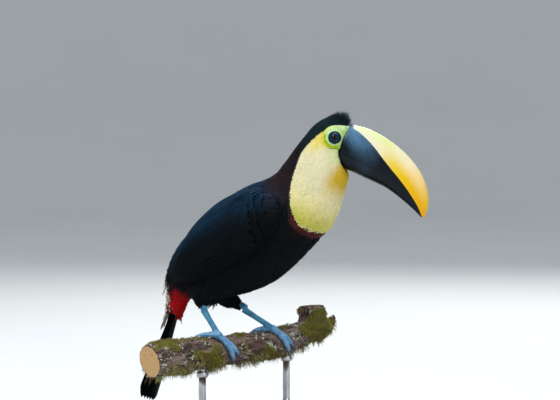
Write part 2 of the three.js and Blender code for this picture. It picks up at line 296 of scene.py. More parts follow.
def unwrap(points):
    """Each point's place along the spine, 0 at the tail and 1 at the bill, and its angle round the
    spine, which is 0 on the back, rises to pi on the left side and falls to -pi on the right."""
    step = spine_step(points)
    offset = points - SPINE[step]
    along = SPINE_AT[step] + dots(offset, AHEAD[step]) / SPINE_LENGTH
    return along, np.arctan2(dots(offset, LEFT[step]), dots(offset, BACK[step]))


def surface_at(tree, along, angle):
    """The outermost points of a surface at places on the unwrap, by rays in towards the spine."""
    step = np.clip(along, 0, 1) * (SPINE_STEPS - 1)
    low = np.minimum(step.astype(int), SPINE_STEPS - 2)
    share = (step - low)[..., None]
    middle, back, left = (line[low] * (1 - share) + line[low + 1] * share for line in (SPINE, BACK, LEFT))
    out = unit(around(back, left, angle))
    found = middle.copy()
    for i in np.ndindex(along.shape):
        hit, _, _, _ = tree.ray_cast(Vector(middle[i] + out[i] * CLEAR_OF_BIRD), Vector(-out[i]))
        if hit:
            found[i] = hit
    return found


def ends_of(node, depth=3 * MM):
    """The middles of a node's top and bottom ends."""
    points = points_of(node)
    low, high = points[:, 2].min(), points[:, 2].max()
    return (points[points[:, 2] > high - depth].mean(axis=0), points[points[:, 2] < low + depth].mean(axis=0))


THIGHS = {side: ends_of("thigh_" + side) for side in SIDES}


def place_on_thigh(points, side):
    """Each point's share of the way down one thigh, how far it is from the thigh's middle line, and
    its angle round that line."""
    top, bottom = THIGHS[side]
    length = np.linalg.norm(bottom - top)
    down = (bottom - top) / length
    offset = points - top
    share = offset @ down / length
    off = offset - np.outer(offset @ down, down)
    return share, np.linalg.norm(off, axis=1), np.arctan2(off[:, 1], off[:, 0])


def on_thigh(points, side):
    """1 on the free part of a thigh and 0 on the body."""
    share, off, _ = place_on_thigh(points, side)
    return smoothstep(0.42, 0.62, share) * (1 - smoothstep(14 * MM, 18 * MM, off))


def lie_of_coat(points, normals):
    """The way that feathers point at each place: out from the bill's foot, back to the tail, and down
    the thighs."""
    from_bill = points - BILL_FOOT
    far = smoothstep(14 * MM, 45 * MM, np.linalg.norm(from_bill, axis=1))[:, None]
    way = unit(from_bill) * (1 - far) - AHEAD[spine_step(points)] * far
    for side, (top, bottom) in THIGHS.items():
        leg = on_thigh(points, side)[:, None]
        way = way * (1 - leg) + unit(bottom - top) * leg
    return unit(way - normals * dots(way, normals)[:, None])


# ---------------------------------------------------------------- skin

FLESH = ("rump", "trunk", "neck", "head", "thigh_right", "thigh_left", "wing_right", "wing_left")
VOXEL = 1.5 * MM
SWELL = 0.75 * MM  # closes the gaps between the CAD solids before they are made one
COAT_AT = [0, 0.3, 0.6, 0.75, 0.88, 0.95, 1.05]
COAT_DEPTH = np.array([3.2, 3.2, 3.0, 2.6, 1.8, 1.2, 0.9]) * MM
FACE_SINK = 1.4 * MM


def applied(piece):
    """The piece with its modifiers made into mesh."""
    graph = bpy.context.evaluated_depsgraph_get()
    mesh = bpy.data.meshes.new_from_object(piece.evaluated_get(graph))
    piece.modifiers.clear()
    old, piece.data = piece.data, mesh
    bpy.data.meshes.remove(old)
    return piece


def mesh_arrays(piece):
    """A piece's points, their normals, and its triangles."""
    mesh = piece.data
    points = np.empty(len(mesh.vertices) * 3)
    normals = np.empty(len(mesh.vertices) * 3)
    mesh.vertices.foreach_get("co", points)
    mesh.vertex_normals.foreach_get("vector", normals)
    mesh.calc_loop_triangles()
    triangles = np.empty(len(mesh.loop_triangles) * 3, np.int32)
    mesh.loop_triangles.foreach_get("vertices", triangles)
    return points.reshape(-1, 3), normals.reshape(-1, 3), triangles.reshape(-1, 3)


def move_points(piece, points):
    piece.data.vertices.foreach_set("co", points.ravel())
    piece.data.update()


def fused(name, meshes, voxel, swell, smoothing):
    """One smooth mesh over some others, standing out from them by the swell."""
    joined = bmesh.new()
    for mesh in meshes:
        joined.from_mesh(mesh)
    bmesh.ops.remove_doubles(joined, verts=joined.verts, dist=1e-6)
    joined.normal_update()
    places = [v.co + v.normal * swell for v in joined.verts]
    for vertex, place in zip(joined.verts, places):
        vertex.co = place
    mesh = bpy.data.meshes.new(name)
    joined.to_mesh(mesh)
    joined.free()
    piece = bpy.data.objects.new(name, mesh)
    bpy.context.scene.collection.objects.link(piece)
    remesh = piece.modifiers.new("fuse", "REMESH")
    remesh.mode = "VOXEL"
    remesh.voxel_size = voxel
    remesh.use_smooth_shade = True
    smooth = piece.modifiers.new("smooth", "SMOOTH")
    smooth.iterations = smoothing
    smooth.factor = 0.5
    return applied(piece)


skin = fused("skin", [NODES[node].data for node in FLESH], VOXEL, SWELL, 12)
shell_points, shell_normals, skin_faces = mesh_arrays(skin)
outline = shell_points - shell_normals * SWELL
OUTLINE = BVHTree.FromPolygons(outline.tolist(), skin_faces.tolist())
print("skin", len(outline), "points", len(skin_faces), "triangles")


# ---------------------------------------------------------------- materials

class Finish:
    """A material made of nodes round one Principled shader."""

    def __init__(self, name, **sockets):
        self.material = bpy.data.materials.new(name)
        self.material.use_nodes = True
        self.nodes = self.material.node_tree.nodes
        self.links = self.material.node_tree.links
        self.shader = self.nodes["Principled BSDF"]
        for socket, value in sockets.items():
            self.put(self.shader, socket.replace("_", " "), value)

    def put(self, node, socket, value):
        """Links an output, or sets a number or a colour, on one input."""
        if isinstance(value, bpy.types.NodeSocket):
            self.links.new(value, node.inputs[socket])
        elif isinstance(value, (tuple, list, np.ndarray)):
            wide = len(node.inputs[socket].default_value) == 4
            node.inputs[socket].default_value = (*value[:3], 1) if wide else tuple(value)
        else:
            node.inputs[socket].default_value = value

    def make(self, kind, output, settings=(), **inputs):
        node = self.nodes.new("ShaderNode" + kind)
        for name, value in dict(settings).items():
            setattr(node, name, value)
        for socket, value in inputs.items():
            self.put(node, socket.replace("_", " "), value)
        return node.outputs[output]

    def place(self, stretch=(1, 1, 1)):
        """Places in the model's own frame, in metres times the stretch."""
        coordinates = self.make("TexCoord", "Object")
        return self.make("Mapping", "Vector", Vector=coordinates, Scale=stretch)

    def value(self, name):
        return self.make("Attribute", "Fac", {"attribute_name": name})

    def colour(self, name):
        return self.make("Attribute", "Color", {"attribute_name": name})

    def uv(self, name):
        return self.make("UVMap", "UV", {"uv_map": name})

    def noise(self, vector, scale, detail=3.0, roughness=0.5, distortion=0.0):
        return self.make("TexNoise", "Fac", Vector=vector, Scale=scale, Detail=detail,
                         Roughness=roughness, Distortion=distortion)

    def cells(self, vector, scale):
        return self.make("TexVoronoi", "Distance", Vector=vector, Scale=scale)

    def maths(self, operation, first, second=0.0):
        node = self.nodes.new("ShaderNodeMath")
        node.operation = operation
        self.put(node, 0, first)
        self.put(node, 1, second)
        return node.outputs[0]

    def plus(self, first, second):
        return self.maths("ADD", first, second)

    def minus(self, first, second):
        return self.maths("SUBTRACT", first, second)

    def times(self, first, second):
        return self.maths("MULTIPLY", first, second)

    def remap(self, value, low, high, to_low=0.0, to_high=1.0):
        """A value from one range to another, kept inside it."""
        node = self.nodes.new("ShaderNodeMapRange")
        node.interpolation_type = "SMOOTHSTEP"
        for i, number in enumerate((value, low, high, to_low, to_high)):
            self.put(node, i, number)
        return node.outputs[0]

    def ramp(self, value, stops):
        """A colour for each value, from stops given as (value, colour)."""
        node = self.nodes.new("ShaderNodeValToRGB")
        elements = node.color_ramp.elements
        for i, (at, colour) in enumerate(stops):
            element = elements[i] if i < 2 else elements.new(at)
            element.position = at
            element.color = (*colour, 1)
        self.links.new(value, node.inputs["Fac"])
        return node.outputs["Color"]

    def mix(self, share, first, second, blend="MIX"):
        """A mixture of two colours. The numbers are the sockets that a colour mix has."""
        node = self.nodes.new("ShaderNodeMix")
        node.data_type = "RGBA"
        node.blend_type = blend
        for socket, value in ((0, share), (6, first), (7, second)):
            self.put(node, socket, value)
        return node.outputs[2]

    def toned(self, colour, tone):
        """A colour made darker or lighter by a number."""
        grey = self.make("CombineColor", "Color", Red=tone, Green=tone, Blue=tone)
        return self.mix(1.0, colour, grey, "MULTIPLY")

    def bump(self, height, depth, strength=1.0, below=None):
        """Bump of a depth in metres. Below is a bump that this one lies on."""
        under = {} if below is None else {"Normal": below}
        return self.make("Bump", "Normal", Strength=strength, Distance=depth, Height=height, **under)

    def surface(self, **outputs):
        """Links finished outputs to the shader, and gives back the material."""
        for socket, value in outputs.items():
            self.put(self.shader, socket.replace("_", " "), value)
        return self.material


# ---------------------------------------------------------------- bill

# Sections of the bill are cut by planes that fan out from a pivot in its hollow side.
BILL_PIVOT = HEAD_MIDDLE + (-25.2 * HEAD_FORWARD - 98.4 * UP) * MM
BILL_TREE = {half: tree_of(half) for half in ("bill_upper", "bill_lower")}
BILL_FAN = np.radians(np.linspace(68.2, 6.0, 110))
BILL_RAYS = 96  # round each section
BILL_ROUND = np.radians(np.linspace(-180, 180, BILL_RAYS, endpoint=False))


def fan_way(angle):
    """The direction out from the pivot at an angle above level, in the head's upright plane."""
    return around(HEAD_FORWARD, UP, angle)


def bill_hit(half, start, way):
    """How far out the surface of one half of the bill lies, or 0 where a ray from outside misses it."""
    reach = 60 * MM
    hit, _, _, distance = BILL_TREE[half].ray_cast(Vector(start + way * reach), Vector(-way), reach * 2)
    return reach - distance if hit else 0


def bill_sections():
    """The middle of each section, its reach at each angle round it, and the angle of the mouth line."""
    middles, reaches, mouths = [], [], []
    for angle in BILL_FAN:
        way = fan_way(angle)
        spans = []
        for half in BILL_TREE:
            start = BILL_PIVOT
            while True:
                hit, _, _, _ = BILL_TREE[half].ray_cast(Vector(start), Vector(way))
                if not hit:
                    break
                spans.append(np.linalg.norm(np.array(hit) - BILL_PIVOT))
                start = np.array(hit) + way * 1e-5
        middle = BILL_PIVOT + way * (min(spans) + max(spans)) / 2
        ring, lower = [], []
        for turn in BILL_ROUND:
            out = around(way, HEAD_SIDE, turn)
            found = [bill_hit(half, middle, out) for half in BILL_TREE]
            ring.append(max(found))
            lower.append(found[1] > found[0])
        side = [abs(turn) for turn, low in zip(BILL_ROUND, lower) if low]
        middles.append(middle)
        reaches.append(ring)
        mouths.append(min(side) - math.pi / BILL_RAYS)
    return np.array(middles), np.array(reaches), np.array(mouths)


bill_middles, bill_reaches, bill_mouths = bill_sections()
bill_reaches = blurred(bill_reaches, 2.2, 1, closed=True)
bill_reaches = blurred(bill_reaches, 3.0, 0)
bill_middles = blurred(bill_middles, 3.0, 0)
bill_mouths = blurred(bill_mouths, 5.0, 0)

BILL_STEPS = np.linspace(0, 1, len(BILL_FAN))
BILL_EDGE_GAP = 0.1 * MM
ALL_BLACK = 9.0  # a patch share far past the pale culmen
# Where black meets the pale culmen, as a share of the way from the ridge down to the mouth line
PATCH_AT = [0, 0.12, 0.28, 0.42, 0.57, 0.72, 0.87, 1]
PATCH_EDGE = [0.14, 0.25, 0.40, 0.57, 0.735, 0.86, 0.905, 0.91]
# The bill's foot slants across the head: its place at heights in the head's own frame, in mm
FOOT_ABOVE = [-27.4, -20, -13, 0, 9, 15]
FOOT_AHEAD = [6.2, 8.5, 10.7, 15.6, 20.4, 21.2]
FOOT_REACH = 30  # mm along the bill over which the slant dies out
FOOT_SHIFT = (-9, 6)  # the most that the foot moves back and ahead, in mm
LIP_HEIGHT = 0.45 * MM  # of the raised rim along the foot
LIP_SHARE = 1.6 / 124  # of the bill's length
TOOTH_LENGTH = 4.6 * MM
TOOTH_DEPTH = 0.12 * MM
MOUTH_EDGE = np.array([0.0, 0.25, 0.6])  # steps in which the horn rounds over into the mouth
MOUTH_ROUNDING = 0.6 * MM
MOUTH_INNER = 9  # points across the inside of each half
BILL_IN_HEAD = 3 * MM  # how far the horn goes on inside the head


def bill_mouth_angles():
    """The mouth line's angle at each section, with the blunt teeth that a toucan's bill has."""
    saw = np.abs((run_along(bill_middles) / TOOTH_LENGTH) % 1 - 0.5) * 2 - 0.5
    toothed = smoothstep(0.08, 0.2, BILL_STEPS) * (1 - smoothstep(0.8, 0.95, BILL_STEPS))
    side = np.interp(math.pi * 0.7, BILL_ROUND, np.arange(len(BILL_ROUND))).astype(int)
    return bill_mouths + saw * toothed * TOOTH_DEPTH / bill_reaches[:, side]


def bill_ring(step, turns, extra):
    """Points round one section of the bill, standing out from it by the extra."""
    way = fan_way(BILL_FAN[step])
    wrapped = (turns + math.pi) % (2 * math.pi) - math.pi
    reach = np.interp(wrapped, BILL_ROUND, bill_reaches[step], period=2 * math.pi) + extra
    return bill_middles[step] + around(way, HEAD_SIDE, turns) * reach[:, None]


def slanted(rings, *values):
    """Rings of the bill moved along it near the foot, so that the foot lies on its slanting edge. Their
    values go along with them."""
    ahead, above, out = head_places(rings[0])
    slope = BILL_FAN[0] - math.pi / 2
    shift = np.zeros(len(ahead))
    for _ in range(4):
        edge = np.interp(above + math.sin(slope) * shift, FOOT_ABOVE, FOOT_AHEAD)
        shift = (edge - ahead) / math.cos(slope)
    shift = np.clip(shift, *FOOT_SHIFT) * np.where(shift < 0, smoothstep(3, 10, out), 1)
    moved, carried = rings.copy(), [value.copy() for value in values]
    for j, by in enumerate(shift):
        run = run_along(rings[:, j]) / MM
        place = run + by * (1 - np.minimum(run / FOOT_REACH, 1)) ** 2
        for k in range(3):
            moved[:, j, k] = np.interp(place, run, rings[:, j, k])
        back = unit(rings[0, j] - rings[6, j])
        moved[:, j] += back * np.maximum(-place, 0)[:, None] * MM
        for value in carried:
            value[:, j] = np.interp(place, run, value[:, j])
    return [moved] + carried


def bill_half(name, first, last, sides, material):
    """One half of the bill, round from one side of the mouth line to the other and back across it."""
    rings, patch_share, along = [], [], []
    for step, mouth in enumerate(bill_mouth_angles()):
        reach = np.interp(mouth, BILL_ROUND, bill_reaches[step])
        gap = BILL_EDGE_GAP / reach
        start, end = first(mouth) + gap, last(mouth) - gap
        body = np.linspace(start, end, sides)
        turns = np.concatenate([start - gap * MOUTH_EDGE[::-1], body, end + gap * MOUTH_EDGE])
        rounding = min(MOUTH_ROUNDING, reach * 0.25)
        inset = np.concatenate([MOUTH_EDGE[::-1] ** 2, np.zeros(sides), MOUTH_EDGE ** 2]) * -rounding
        outer = bill_ring(step, turns, inset)
        across = np.linspace(0, 1, MOUTH_INNER + 2)[1:-1, None]
        closing = outer[-1] * (1 - across) + outer[0] * across
        rings.append(np.concatenate([outer, closing]))
        edge_share = spline(PATCH_AT, PATCH_EDGE, BILL_STEPS[step])
        share = np.abs((turns + math.pi) % (2 * math.pi) - math.pi) / (mouth * edge_share)
        patch_share.append(np.concatenate([share, np.full(MOUTH_INNER, ALL_BLACK)]))
        along.append(np.full(len(turns) + MOUTH_INNER, BILL_STEPS[step]))
    rings, patch_share, along = slanted(np.array(rings), np.array(patch_share), np.array(along))
    lip = LIP_HEIGHT * np.exp(-(BILL_STEPS / LIP_SHARE) ** 2)
    rings = rings + unit(rings - bill_middles[:, None]) * lip[:, None, None]
    foot = rings[0] - fan_way(BILL_FAN[0] - math.pi / 2) * BILL_IN_HEAD
    foot = (foot - foot.mean(axis=0)) * 0.94 + foot.mean(axis=0)
    rings = np.concatenate([foot[None], rings])
    points, faces = closed_loft(rings)
    piece = mesh_piece(name, points, faces, [material])
    from_foot = np.repeat(np.append(0, BILL_STEPS), rings.shape[1])
    keep_value(piece, "from_foot", np.append(from_foot, [0.0, 1.0]))
    ends_black = [ALL_BLACK, ALL_BLACK]
    for value, grid, ends in (("patch_share", patch_share, ends_black), ("along", along, [0.0, 1.0])):
        keep_value(piece, value, np.append(np.concatenate([grid[:1], grid]).ravel(), ends))
    return piece


def bill_finish():
    """Satin horn: black below, and cream, lime and gold over the ridge, going by place on the bill, with
    painted sky reflection in the cream band and on the black near the foot.
    """
    look = Finish("bill", Roughness=0.3, Specular_IOR_Level=0.16, Coat_Weight=0.04, Coat_Roughness=0.15,
                  Subsurface_Weight=0.05, Subsurface_Radius=(0.004, 0.002, 0.001))
    along = look.value("along")
    share = look.value("patch_share")
    wander = look.noise(look.place(), 90, 2)
    along = look.plus(along, look.times(look.minus(wander, 0.5), 0.09))
    # The pale cream stops along the middle of the ridge and the flank are partly the horn's pale yellow and
    # partly painted sky reflection.
    ridge = look.ramp(along, [(0.0, linear(196, 202, 164)), (1.0, linear(224, 156, 10)),
                              (0.1, linear(192, 206, 146)), (0.22, linear(194, 209, 124)),
                              (0.34, linear(202, 203, 136)), (0.46, linear(216, 208, 172)),
                              (0.58, linear(224, 206, 164)), (0.70, linear(226, 196, 132)),
                              (0.80, linear(222, 188, 96)), (0.90, linear(222, 176, 26))])
    flank = look.ramp(along, [(0.0, linear(196, 202, 164)), (1.0, linear(220, 152, 4)),
                              (0.24, linear(216, 211, 180)), (0.36, linear(218, 210, 164)),
                              (0.48, linear(220, 192, 70)), (0.62, linear(222, 182, 16)),
                              (0.80, linear(220, 170, 4))])
    pale = look.mix(look.remap(share, 0.15, 0.75), ridge, flank)
    grain = look.noise(look.place(), 420, 4, 0.6)
    pale = look.mix(look.remap(grain, 0.45, 0.8, 0.0, 0.16), pale, linear(220, 166, 44))
    black = look.mix(look.remap(grain, 0.4, 0.75, 0, 1), linear(2, 10, 16), linear(6, 23, 31))
    # Painted sky reflection: the upper black near the bill's foot turns blue-grey in soft streaks, fading
    # down the patch and along the bill.
    low = look.remap(look.value("along"), 0.0, 0.26, 4.8, 3.3)
    sunk = look.maths("DIVIDE", look.minus(share, 1.2), look.minus(low, 1.2))
    painted_sky_sheen = look.times(look.remap(along, 0.04, 0.46, 1, 0), look.remap(sunk, 0, 1, 1, 0))
    streak_place = look.make("CombineXYZ", "Vector", X=look.times(along, 3.0), Y=look.times(share, 5.0))
    streaks = look.remap(look.noise(streak_place, 1.6, 4, 0.6), 0.3, 0.7, 0.55, 1.0)
    black = look.mix(look.times(painted_sky_sheen, streaks), black, linear(84, 122, 156))
    ragged = look.plus(share, look.times(look.minus(grain, 0.5), 0.05))
    is_black = look.remap(ragged, 0.99, 1.01)
    foot_line = look.remap(look.value("from_foot"), 0.006, 0.011, 1.0, 0.0)
    colour = look.mix(look.maths("MAXIMUM", is_black, foot_line), pale, black)
    rough = look.remap(look.noise(look.place(), 260, 5, 0.65), 0.35, 0.7, 0.26, 0.42)
    lines = look.noise(look.place(), 1500, 3, 0.6)
    fine = look.bump(lines, 0.05 * MM, 0.5)
    waves = look.noise(look.place(), 150, 3, 0.5)
    return look.surface(Base_Color=colour, Roughness=rough,
                        Normal=look.bump(waves, 0.35 * MM, 0.6, fine))


bill_material = bill_finish()
bill_upper = bill_half("bill_upper_horn", lambda mouth: -mouth, lambda mouth: mouth, 84, bill_material)
bill_lower = bill_half("bill_lower_horn", lambda mouth: mouth, lambda mouth: 2 * math.pi - mouth, 56,
                       bill_material)
for half in (bill_upper, bill_lower):
    node = half.name.removesuffix("_horn")
    settle(half, node, node)


# ---------------------------------------------------------------- eyes and the bare skin round them

EYE_RADIUS = (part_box("eye_right")[1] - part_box("eye_right")[0])[0] / 2
LID_OPENING = 6.8 * MM


def eye_axes(side):
    """Outward, forward and downward directions of one eye, which looks a little forward."""
    sign = 1 if side == "left" else -1
    outward = unit(HEAD_SIDE * sign + HEAD_FORWARD * 0.10 + UP * 0.02)
    forward = unit(HEAD_FORWARD - outward * HEAD_FORWARD.dot(outward))
    return outward, forward, unit(np.cross(outward, forward) * sign)


def eyeball_height(off_axis):
    """The eyeball's height over its middle plane, with the cornea's bulge."""
    ball = np.sqrt(np.maximum(EYE_RADIUS ** 2 - off_axis ** 2, 0))
    return ball + 0.75 * MM * (1 - smoothstep(0, 5.6 * MM, off_axis))


def eye_piece(side, material):
    outward, forward, down = eye_axes(side)
    off_axis = EYE_RADIUS * np.sin(np.linspace(0.02, math.pi / 2, 44))
    rim = around(forward, down, full_turn(96))
    front = [EYES[side] + rim * d + outward * eyeball_height(d) for d in off_axis]
    back = [EYES[side] + rim * d - outward * math.sqrt(max(EYE_RADIUS ** 2 - d * d, 0))
            for d in off_axis[::-4][1:]]
    points, faces = closed_loft(np.array(front + back))
    piece = mesh_piece("eyeball_" + side, points, faces, [material])
    keep_value(piece, "off_axis", np.linalg.norm(np.cross(points - EYES[side], outward), axis=1) / MM)
    return piece


def eye_finish():
    """A wet dark eye: a dark iris painted deep blue for the sky's reflection, round a black pupil, and a
    darker blue ring at its edge.
    """
    look = Finish("eye", Roughness=0.08, Specular_IOR_Level=0.14, Coat_Weight=0.1, Coat_Roughness=0.03,
                  Coat_IOR=1.4)
    off_axis = look.value("off_axis")
    fibres = look.noise(look.place(), 900, 4, 0.7)
    # The iris is dark, and its deep blue is painted sky reflection.
    iris = look.mix(fibres, linear(3, 22, 38), linear(10, 50, 76))
    rings = look.mix(look.remap(off_axis, 5.2, 6.5), iris, linear(2, 6, 12))
    colour = look.mix(look.remap(off_axis, 2.7, 3.6), linear(1, 2, 4), rings)
    return look.surface(Base_Color=colour)


eye_material = eye_finish()
for side in SIDES:
    settle(eye_piece(side, eye_material), "eye", "eye_" + side)


# The skin round the eye is a disc of its own, in rings round the eye's axis, joined to the body's skin.
FACE_TURNS = full_turn(200)
LID_RINGS = np.linspace(5.4, 8.8, 26)  # in mm
SKIN_RINGS = 42
FACE_REACH = (9.0, 32.0)  # in mm, between which the disc's border is found by halving
HALVINGS = 16
FACE_EDGE = 1.17  # where the disc ends, as bare_skin counts
FACE_DROP = 2.4  # mm that the disc sinks under feathers at its border
FACE_UNDER_BILL = 3.2  # mm that it goes on under the foot of the bill
EYEBALL_EDGE = eyeball_height(LID_OPENING) / MM
# Height of the lid over the eyeball's visible edge, and of the skin over the head's round form, in mm
LID_AT = [5.7, 6.4, 6.8, 7.0, 7.3, 7.7, 8.4]
LID_HEIGHT = [0.2, 0.1, 0.2, 0.62, 0.8, 0.66, 0.25]
FOLD_AT = [6.5, 7.4, 8.3, 9.4, 10.4, 11.3, 12.6]
FOLD_HEIGHT = [0.9, 0.5, -0.18, 0.2, 0.02, 0.14, 0.0]


def face_grid(side):
    """How far each point of the disc is from the eye's axis, in mm, and its turn round it. Rings near
    the lids are round, and those outside them spread to the edge of the bare skin."""
    _, forward, down = eye_axes(side)
    rim = around(forward, down, FACE_TURNS)
    near, far = np.full(len(rim), FACE_REACH[0]), np.full(len(rim), FACE_REACH[1])
    for _ in range(HALVINGS):
        middle = (near + far) / 2
        spots = EYES[side] + rim * (middle * MM)[:, None]
        ahead, above, _ = head_places(spots)
        foot = np.interp(above, FOOT_ABOVE, FOOT_AHEAD) + FACE_UNDER_BILL
        inside = (bare_skin(spots) < FACE_EDGE) & (ahead < foot)
        near, far = np.where(inside, middle, near), np.where(inside, far, middle)
    share = np.linspace(0, 1, SKIN_RINGS + 1)[1:, None]
    lids = np.repeat(LID_RINGS[:, None], len(rim), axis=1)
    ring = np.concatenate([lids, LID_RINGS[-1] * (1 - share) + near * share])
    return ring, np.broadcast_to(FACE_TURNS, ring.shape)


def round_form(side, ring, turn):
    """The head's surface round one eye, as heights in mm over the eye's middle, smooth under the lids."""
    outward, forward, down = eye_axes(side)
    start = 40 * MM
    heights = np.full(ring.shape, np.nan)
    for i in np.ndindex(ring.shape):
        spot = EYES[side] + around(forward, down, turn[i]) * ring[i] * MM
        hit, _, _, far = OUTLINE.ray_cast(Vector(spot + outward * start), Vector(-outward))
        if hit:
            heights[i] = (start - far) / MM
    x, y = ring * np.cos(turn), ring * np.sin(turn)
    terms = np.stack([np.ones_like(x), x, y, x * x, x * y, y * y, x ** 3, y ** 3, x * y * y], axis=-1)
    clear = (ring > 9.5) & (ring < 17) & (heights > -4)
    fit = np.linalg.lstsq(terms[clear], heights[clear], rcond=None)[0]
    smooth = terms @ fit
    real = np.where(np.isfinite(heights) & (np.abs(heights - smooth) < 2), heights, smooth)
    outer = smoothstep(11, 15, ring)
    return smooth * (1 - outer) + blurred(real, 2, 1, closed=True) * outer


def face_heights(side, ring, turn, places):
    """The lids, folds and fine creases, as heights in mm over the eye's middle."""
    base = round_form(side, ring, turn)
    heavy = 1 + 0.35 * np.maximum(-np.sin(turn), 0)  # the upper lid is the thicker one
    lid = EYEBALL_EDGE + np.interp(ring, LID_AT, LID_HEIGHT) * np.where(ring > LID_AT[2], heavy, 1)
    skin_part = base + np.interp(ring, FOLD_AT, FOLD_HEIGHT)
    share = smoothstep(6.9, 8.5, ring)
    height = lid * (1 - share) + skin_part * share
    wander = lumps(places.reshape(-1, 3), 5 * MM).reshape(ring.shape)
    fine = lumps(places.reshape(-1, 3), 1.3 * MM).reshape(ring.shape)
    rings = np.sin(2 * math.pi * (ring / 1.2 + 0.45 * wander))
    spokes = np.sin(turn * 44 + 3 * wander)
    creased = smoothstep(7.6, 9.4, ring)
    height += creased * (0.075 * rings + 0.06 * spokes * (1 - smoothstep(9, 16, ring)) + 0.13 * fine)
    height += smoothstep(6.8, 7.2, ring) * (1 - creased) * 0.06 * np.sin(turn * 40 + wander)
    return height


def face_colours(ring, turn, outside):
    """Lime skin, palest before the eye, yellow by the cap, and darker behind and below."""
    ahead, over = np.cos(turn), -np.sin(turn)
    colour = np.tile(linear(160, 188, 56), (len(ring), 1))
    colour = blend(smoothstep(-0.1, 0.9, ahead) * 0.8, colour, linear(176, 206, 112))
    behind = smoothstep(-0.2, 0.45, -0.9 * ahead - 0.4 * over) * smoothstep(8.1, 9.4, ring)
    colour = blend(behind * 0.97, colour, linear(138, 160, 4))
    brow = smoothstep(0.45, 0.85, outside) * smoothstep(0.15, 0.6, over)
    colour = blend(brow * 0.85, colour, linear(196, 220, 164))
    rear = smoothstep(0.92, 1.04, outside) * smoothstep(0.1, 0.7, -ahead)
    colour = blend(rear * 0.9, colour, linear(214, 204, 40))
    lid = smoothstep(0.8, -0.4, ring - 8.4 - 1.1 * smoothstep(-0.4, 0.6, over - 0.6 * ahead))
    colour = blend(lid * 0.85, colour, linear(188, 224, 172))
    edge = smoothstep(7.25, 6.9, ring)
    return blend(edge * 0.9, colour, linear(30, 52, 56))


def face_disc(side, material):
    outward, forward, down = eye_axes(side)
    ring, turn = face_grid(side)
    flat = EYES[side] + around(forward, down, turn) * (ring * MM)[..., None]
    height = face_heights(side, ring, turn, flat)
    places = flat + outward * (height * MM)[..., None]
    outside = bare_skin(places.reshape(-1, 3)).reshape(ring.shape)
    drop = FACE_DROP * smoothstep(1.0, 1.14, outside)
    places = places - outward * (drop * MM)[..., None]
    points, faces = closed_loft(places)
    if side == "right":
        faces = faces[:, ::-1]
    disc = mesh_piece("face_" + side, points, faces, [material])
    colours = face_colours(ring.ravel(), turn.ravel(), outside.ravel())
    paint(disc, "tint", np.concatenate([colours, colours[:1], colours[-1:]]))
    return disc


def face_finish():
    """Bare, thin, slightly moist skin with fine pimples and pores, and painted shade between the pimples."""
    look = Finish("bare_skin", Roughness=0.5, Specular_IOR_Level=0.14, Subsurface_Weight=0.06,
                  Subsurface_Radius=(0.002, 0.0012, 0.0005), Subsurface_Scale=1.0)
    pimples = look.cells(look.place(), 1500)
    pores = look.noise(look.place(), 2600, 3, 0.6)
    tone = look.remap(look.noise(look.place(), 240, 3, 0.6), 0.3, 0.7, 0.82, 1.1)
    # Darker green between the pimples: painted shade in the crevices.
    crevice_shade = look.remap(pimples, 0.25, 0.7, 0.0, 0.22)
    colour = look.mix(crevice_shade, look.toned(look.colour("tint"), tone), linear(120, 150, 40))
    small = look.bump(pores, 0.05 * MM, 0.5)
    return look.surface(Base_Color=colour, Roughness=look.remap(pores, 0.3, 0.7, 0.38, 0.6),
                        Normal=look.bump(pimples, 0.16 * MM, 0.8, small))


# ---------------------------------------------------------------- coat colours and regions

DEGREES = math.pi / 180
# The bib's edge: its place along the spine at each angle from the back, in degrees
BIB_ANGLE = [0, 30, 33, 36, 41, 46, 51.5, 62.5, 71.5, 87, 107, 127, 150, 180]
BIB_EDGE = [1.4, 1.12, 0.95, 0.90, 0.88, 0.862, 0.843, 0.803, 0.776, 0.738, 0.709, 0.698, 0.703, 0.717]
RED_BAND = (-0.020, -0.014)  # where the red under the bib begins, inside its edge
RUMP_FRONT = centre("thigh_right")[0] - 12 * MM
# The black cap's lower edge over the eye, in the head's own frame in mm
CAP_AT = [-54, -48, -42.5, -36, -24, -16.4, -8.3, 0, 4.8, 12, 16.5, 21]
CAP_EDGE = [-40, -30, -22, -14.5, 0.5, 5.5, 10.2, 11.7, 11.4, 10.6, 9.2, 7.4]
BLACK = linear(5, 9, 14)
CAP_BLACK_WITH_SHEEN = linear(24, 42, 50)
SKY_SHEEN_NAVY = linear(15, 44, 66)
MAROON = linear(46, 34, 37)
CREAM = linear(226, 219, 178)
STRAW = linear(230, 219, 154)
OLIVE = linear(194, 190, 72)
AMBER = linear(214, 177, 5)
LEMON = linear(224, 208, 104)
WHITE = linear(240, 238, 226)
PALE_LIME = linear(206, 222, 150)
BLOOD = linear(66, 7, 4)
SCARLET = linear(204, 22, 26)


def blend(share, first, second):
    return first * (1 - share[:, None]) + second * share[:, None]


def bump_between(value, low, high, soft):
    """1 where the value is between low and high, with soft edges."""
    return smoothstep(low - soft, low + soft, value) * (1 - smoothstep(high - soft, high + soft, value))


def bib_depth(points):
    """How far each place is inside the bib's edge, as a share of the spine. It is below 0 outside."""
    along, angle = unwrap(points)
    depth = along - spline(BIB_ANGLE, BIB_EDGE, np.abs(angle) / DEGREES)
    ahead, above, _ = head_places(points)
    under_cap = (np.interp(ahead, CAP_AT, CAP_EDGE) - above) * MM / SPINE_LENGTH
    return np.minimum(depth, under_cap)


def bare_skin(points):
    """Below 1 on the bare skin round the nearer eye, and above 1 outside it."""
    ahead, above, out = head_places(points)
    wide = np.where(ahead < 3.5, 12.4, 23.0)
    far = (np.abs((ahead - 3.5) / wide) ** 2.2 + np.abs((above - 0.6) / 11.9) ** 2.2) ** (1 / 2.2)
    return np.where(out > 3, far, 9.0)


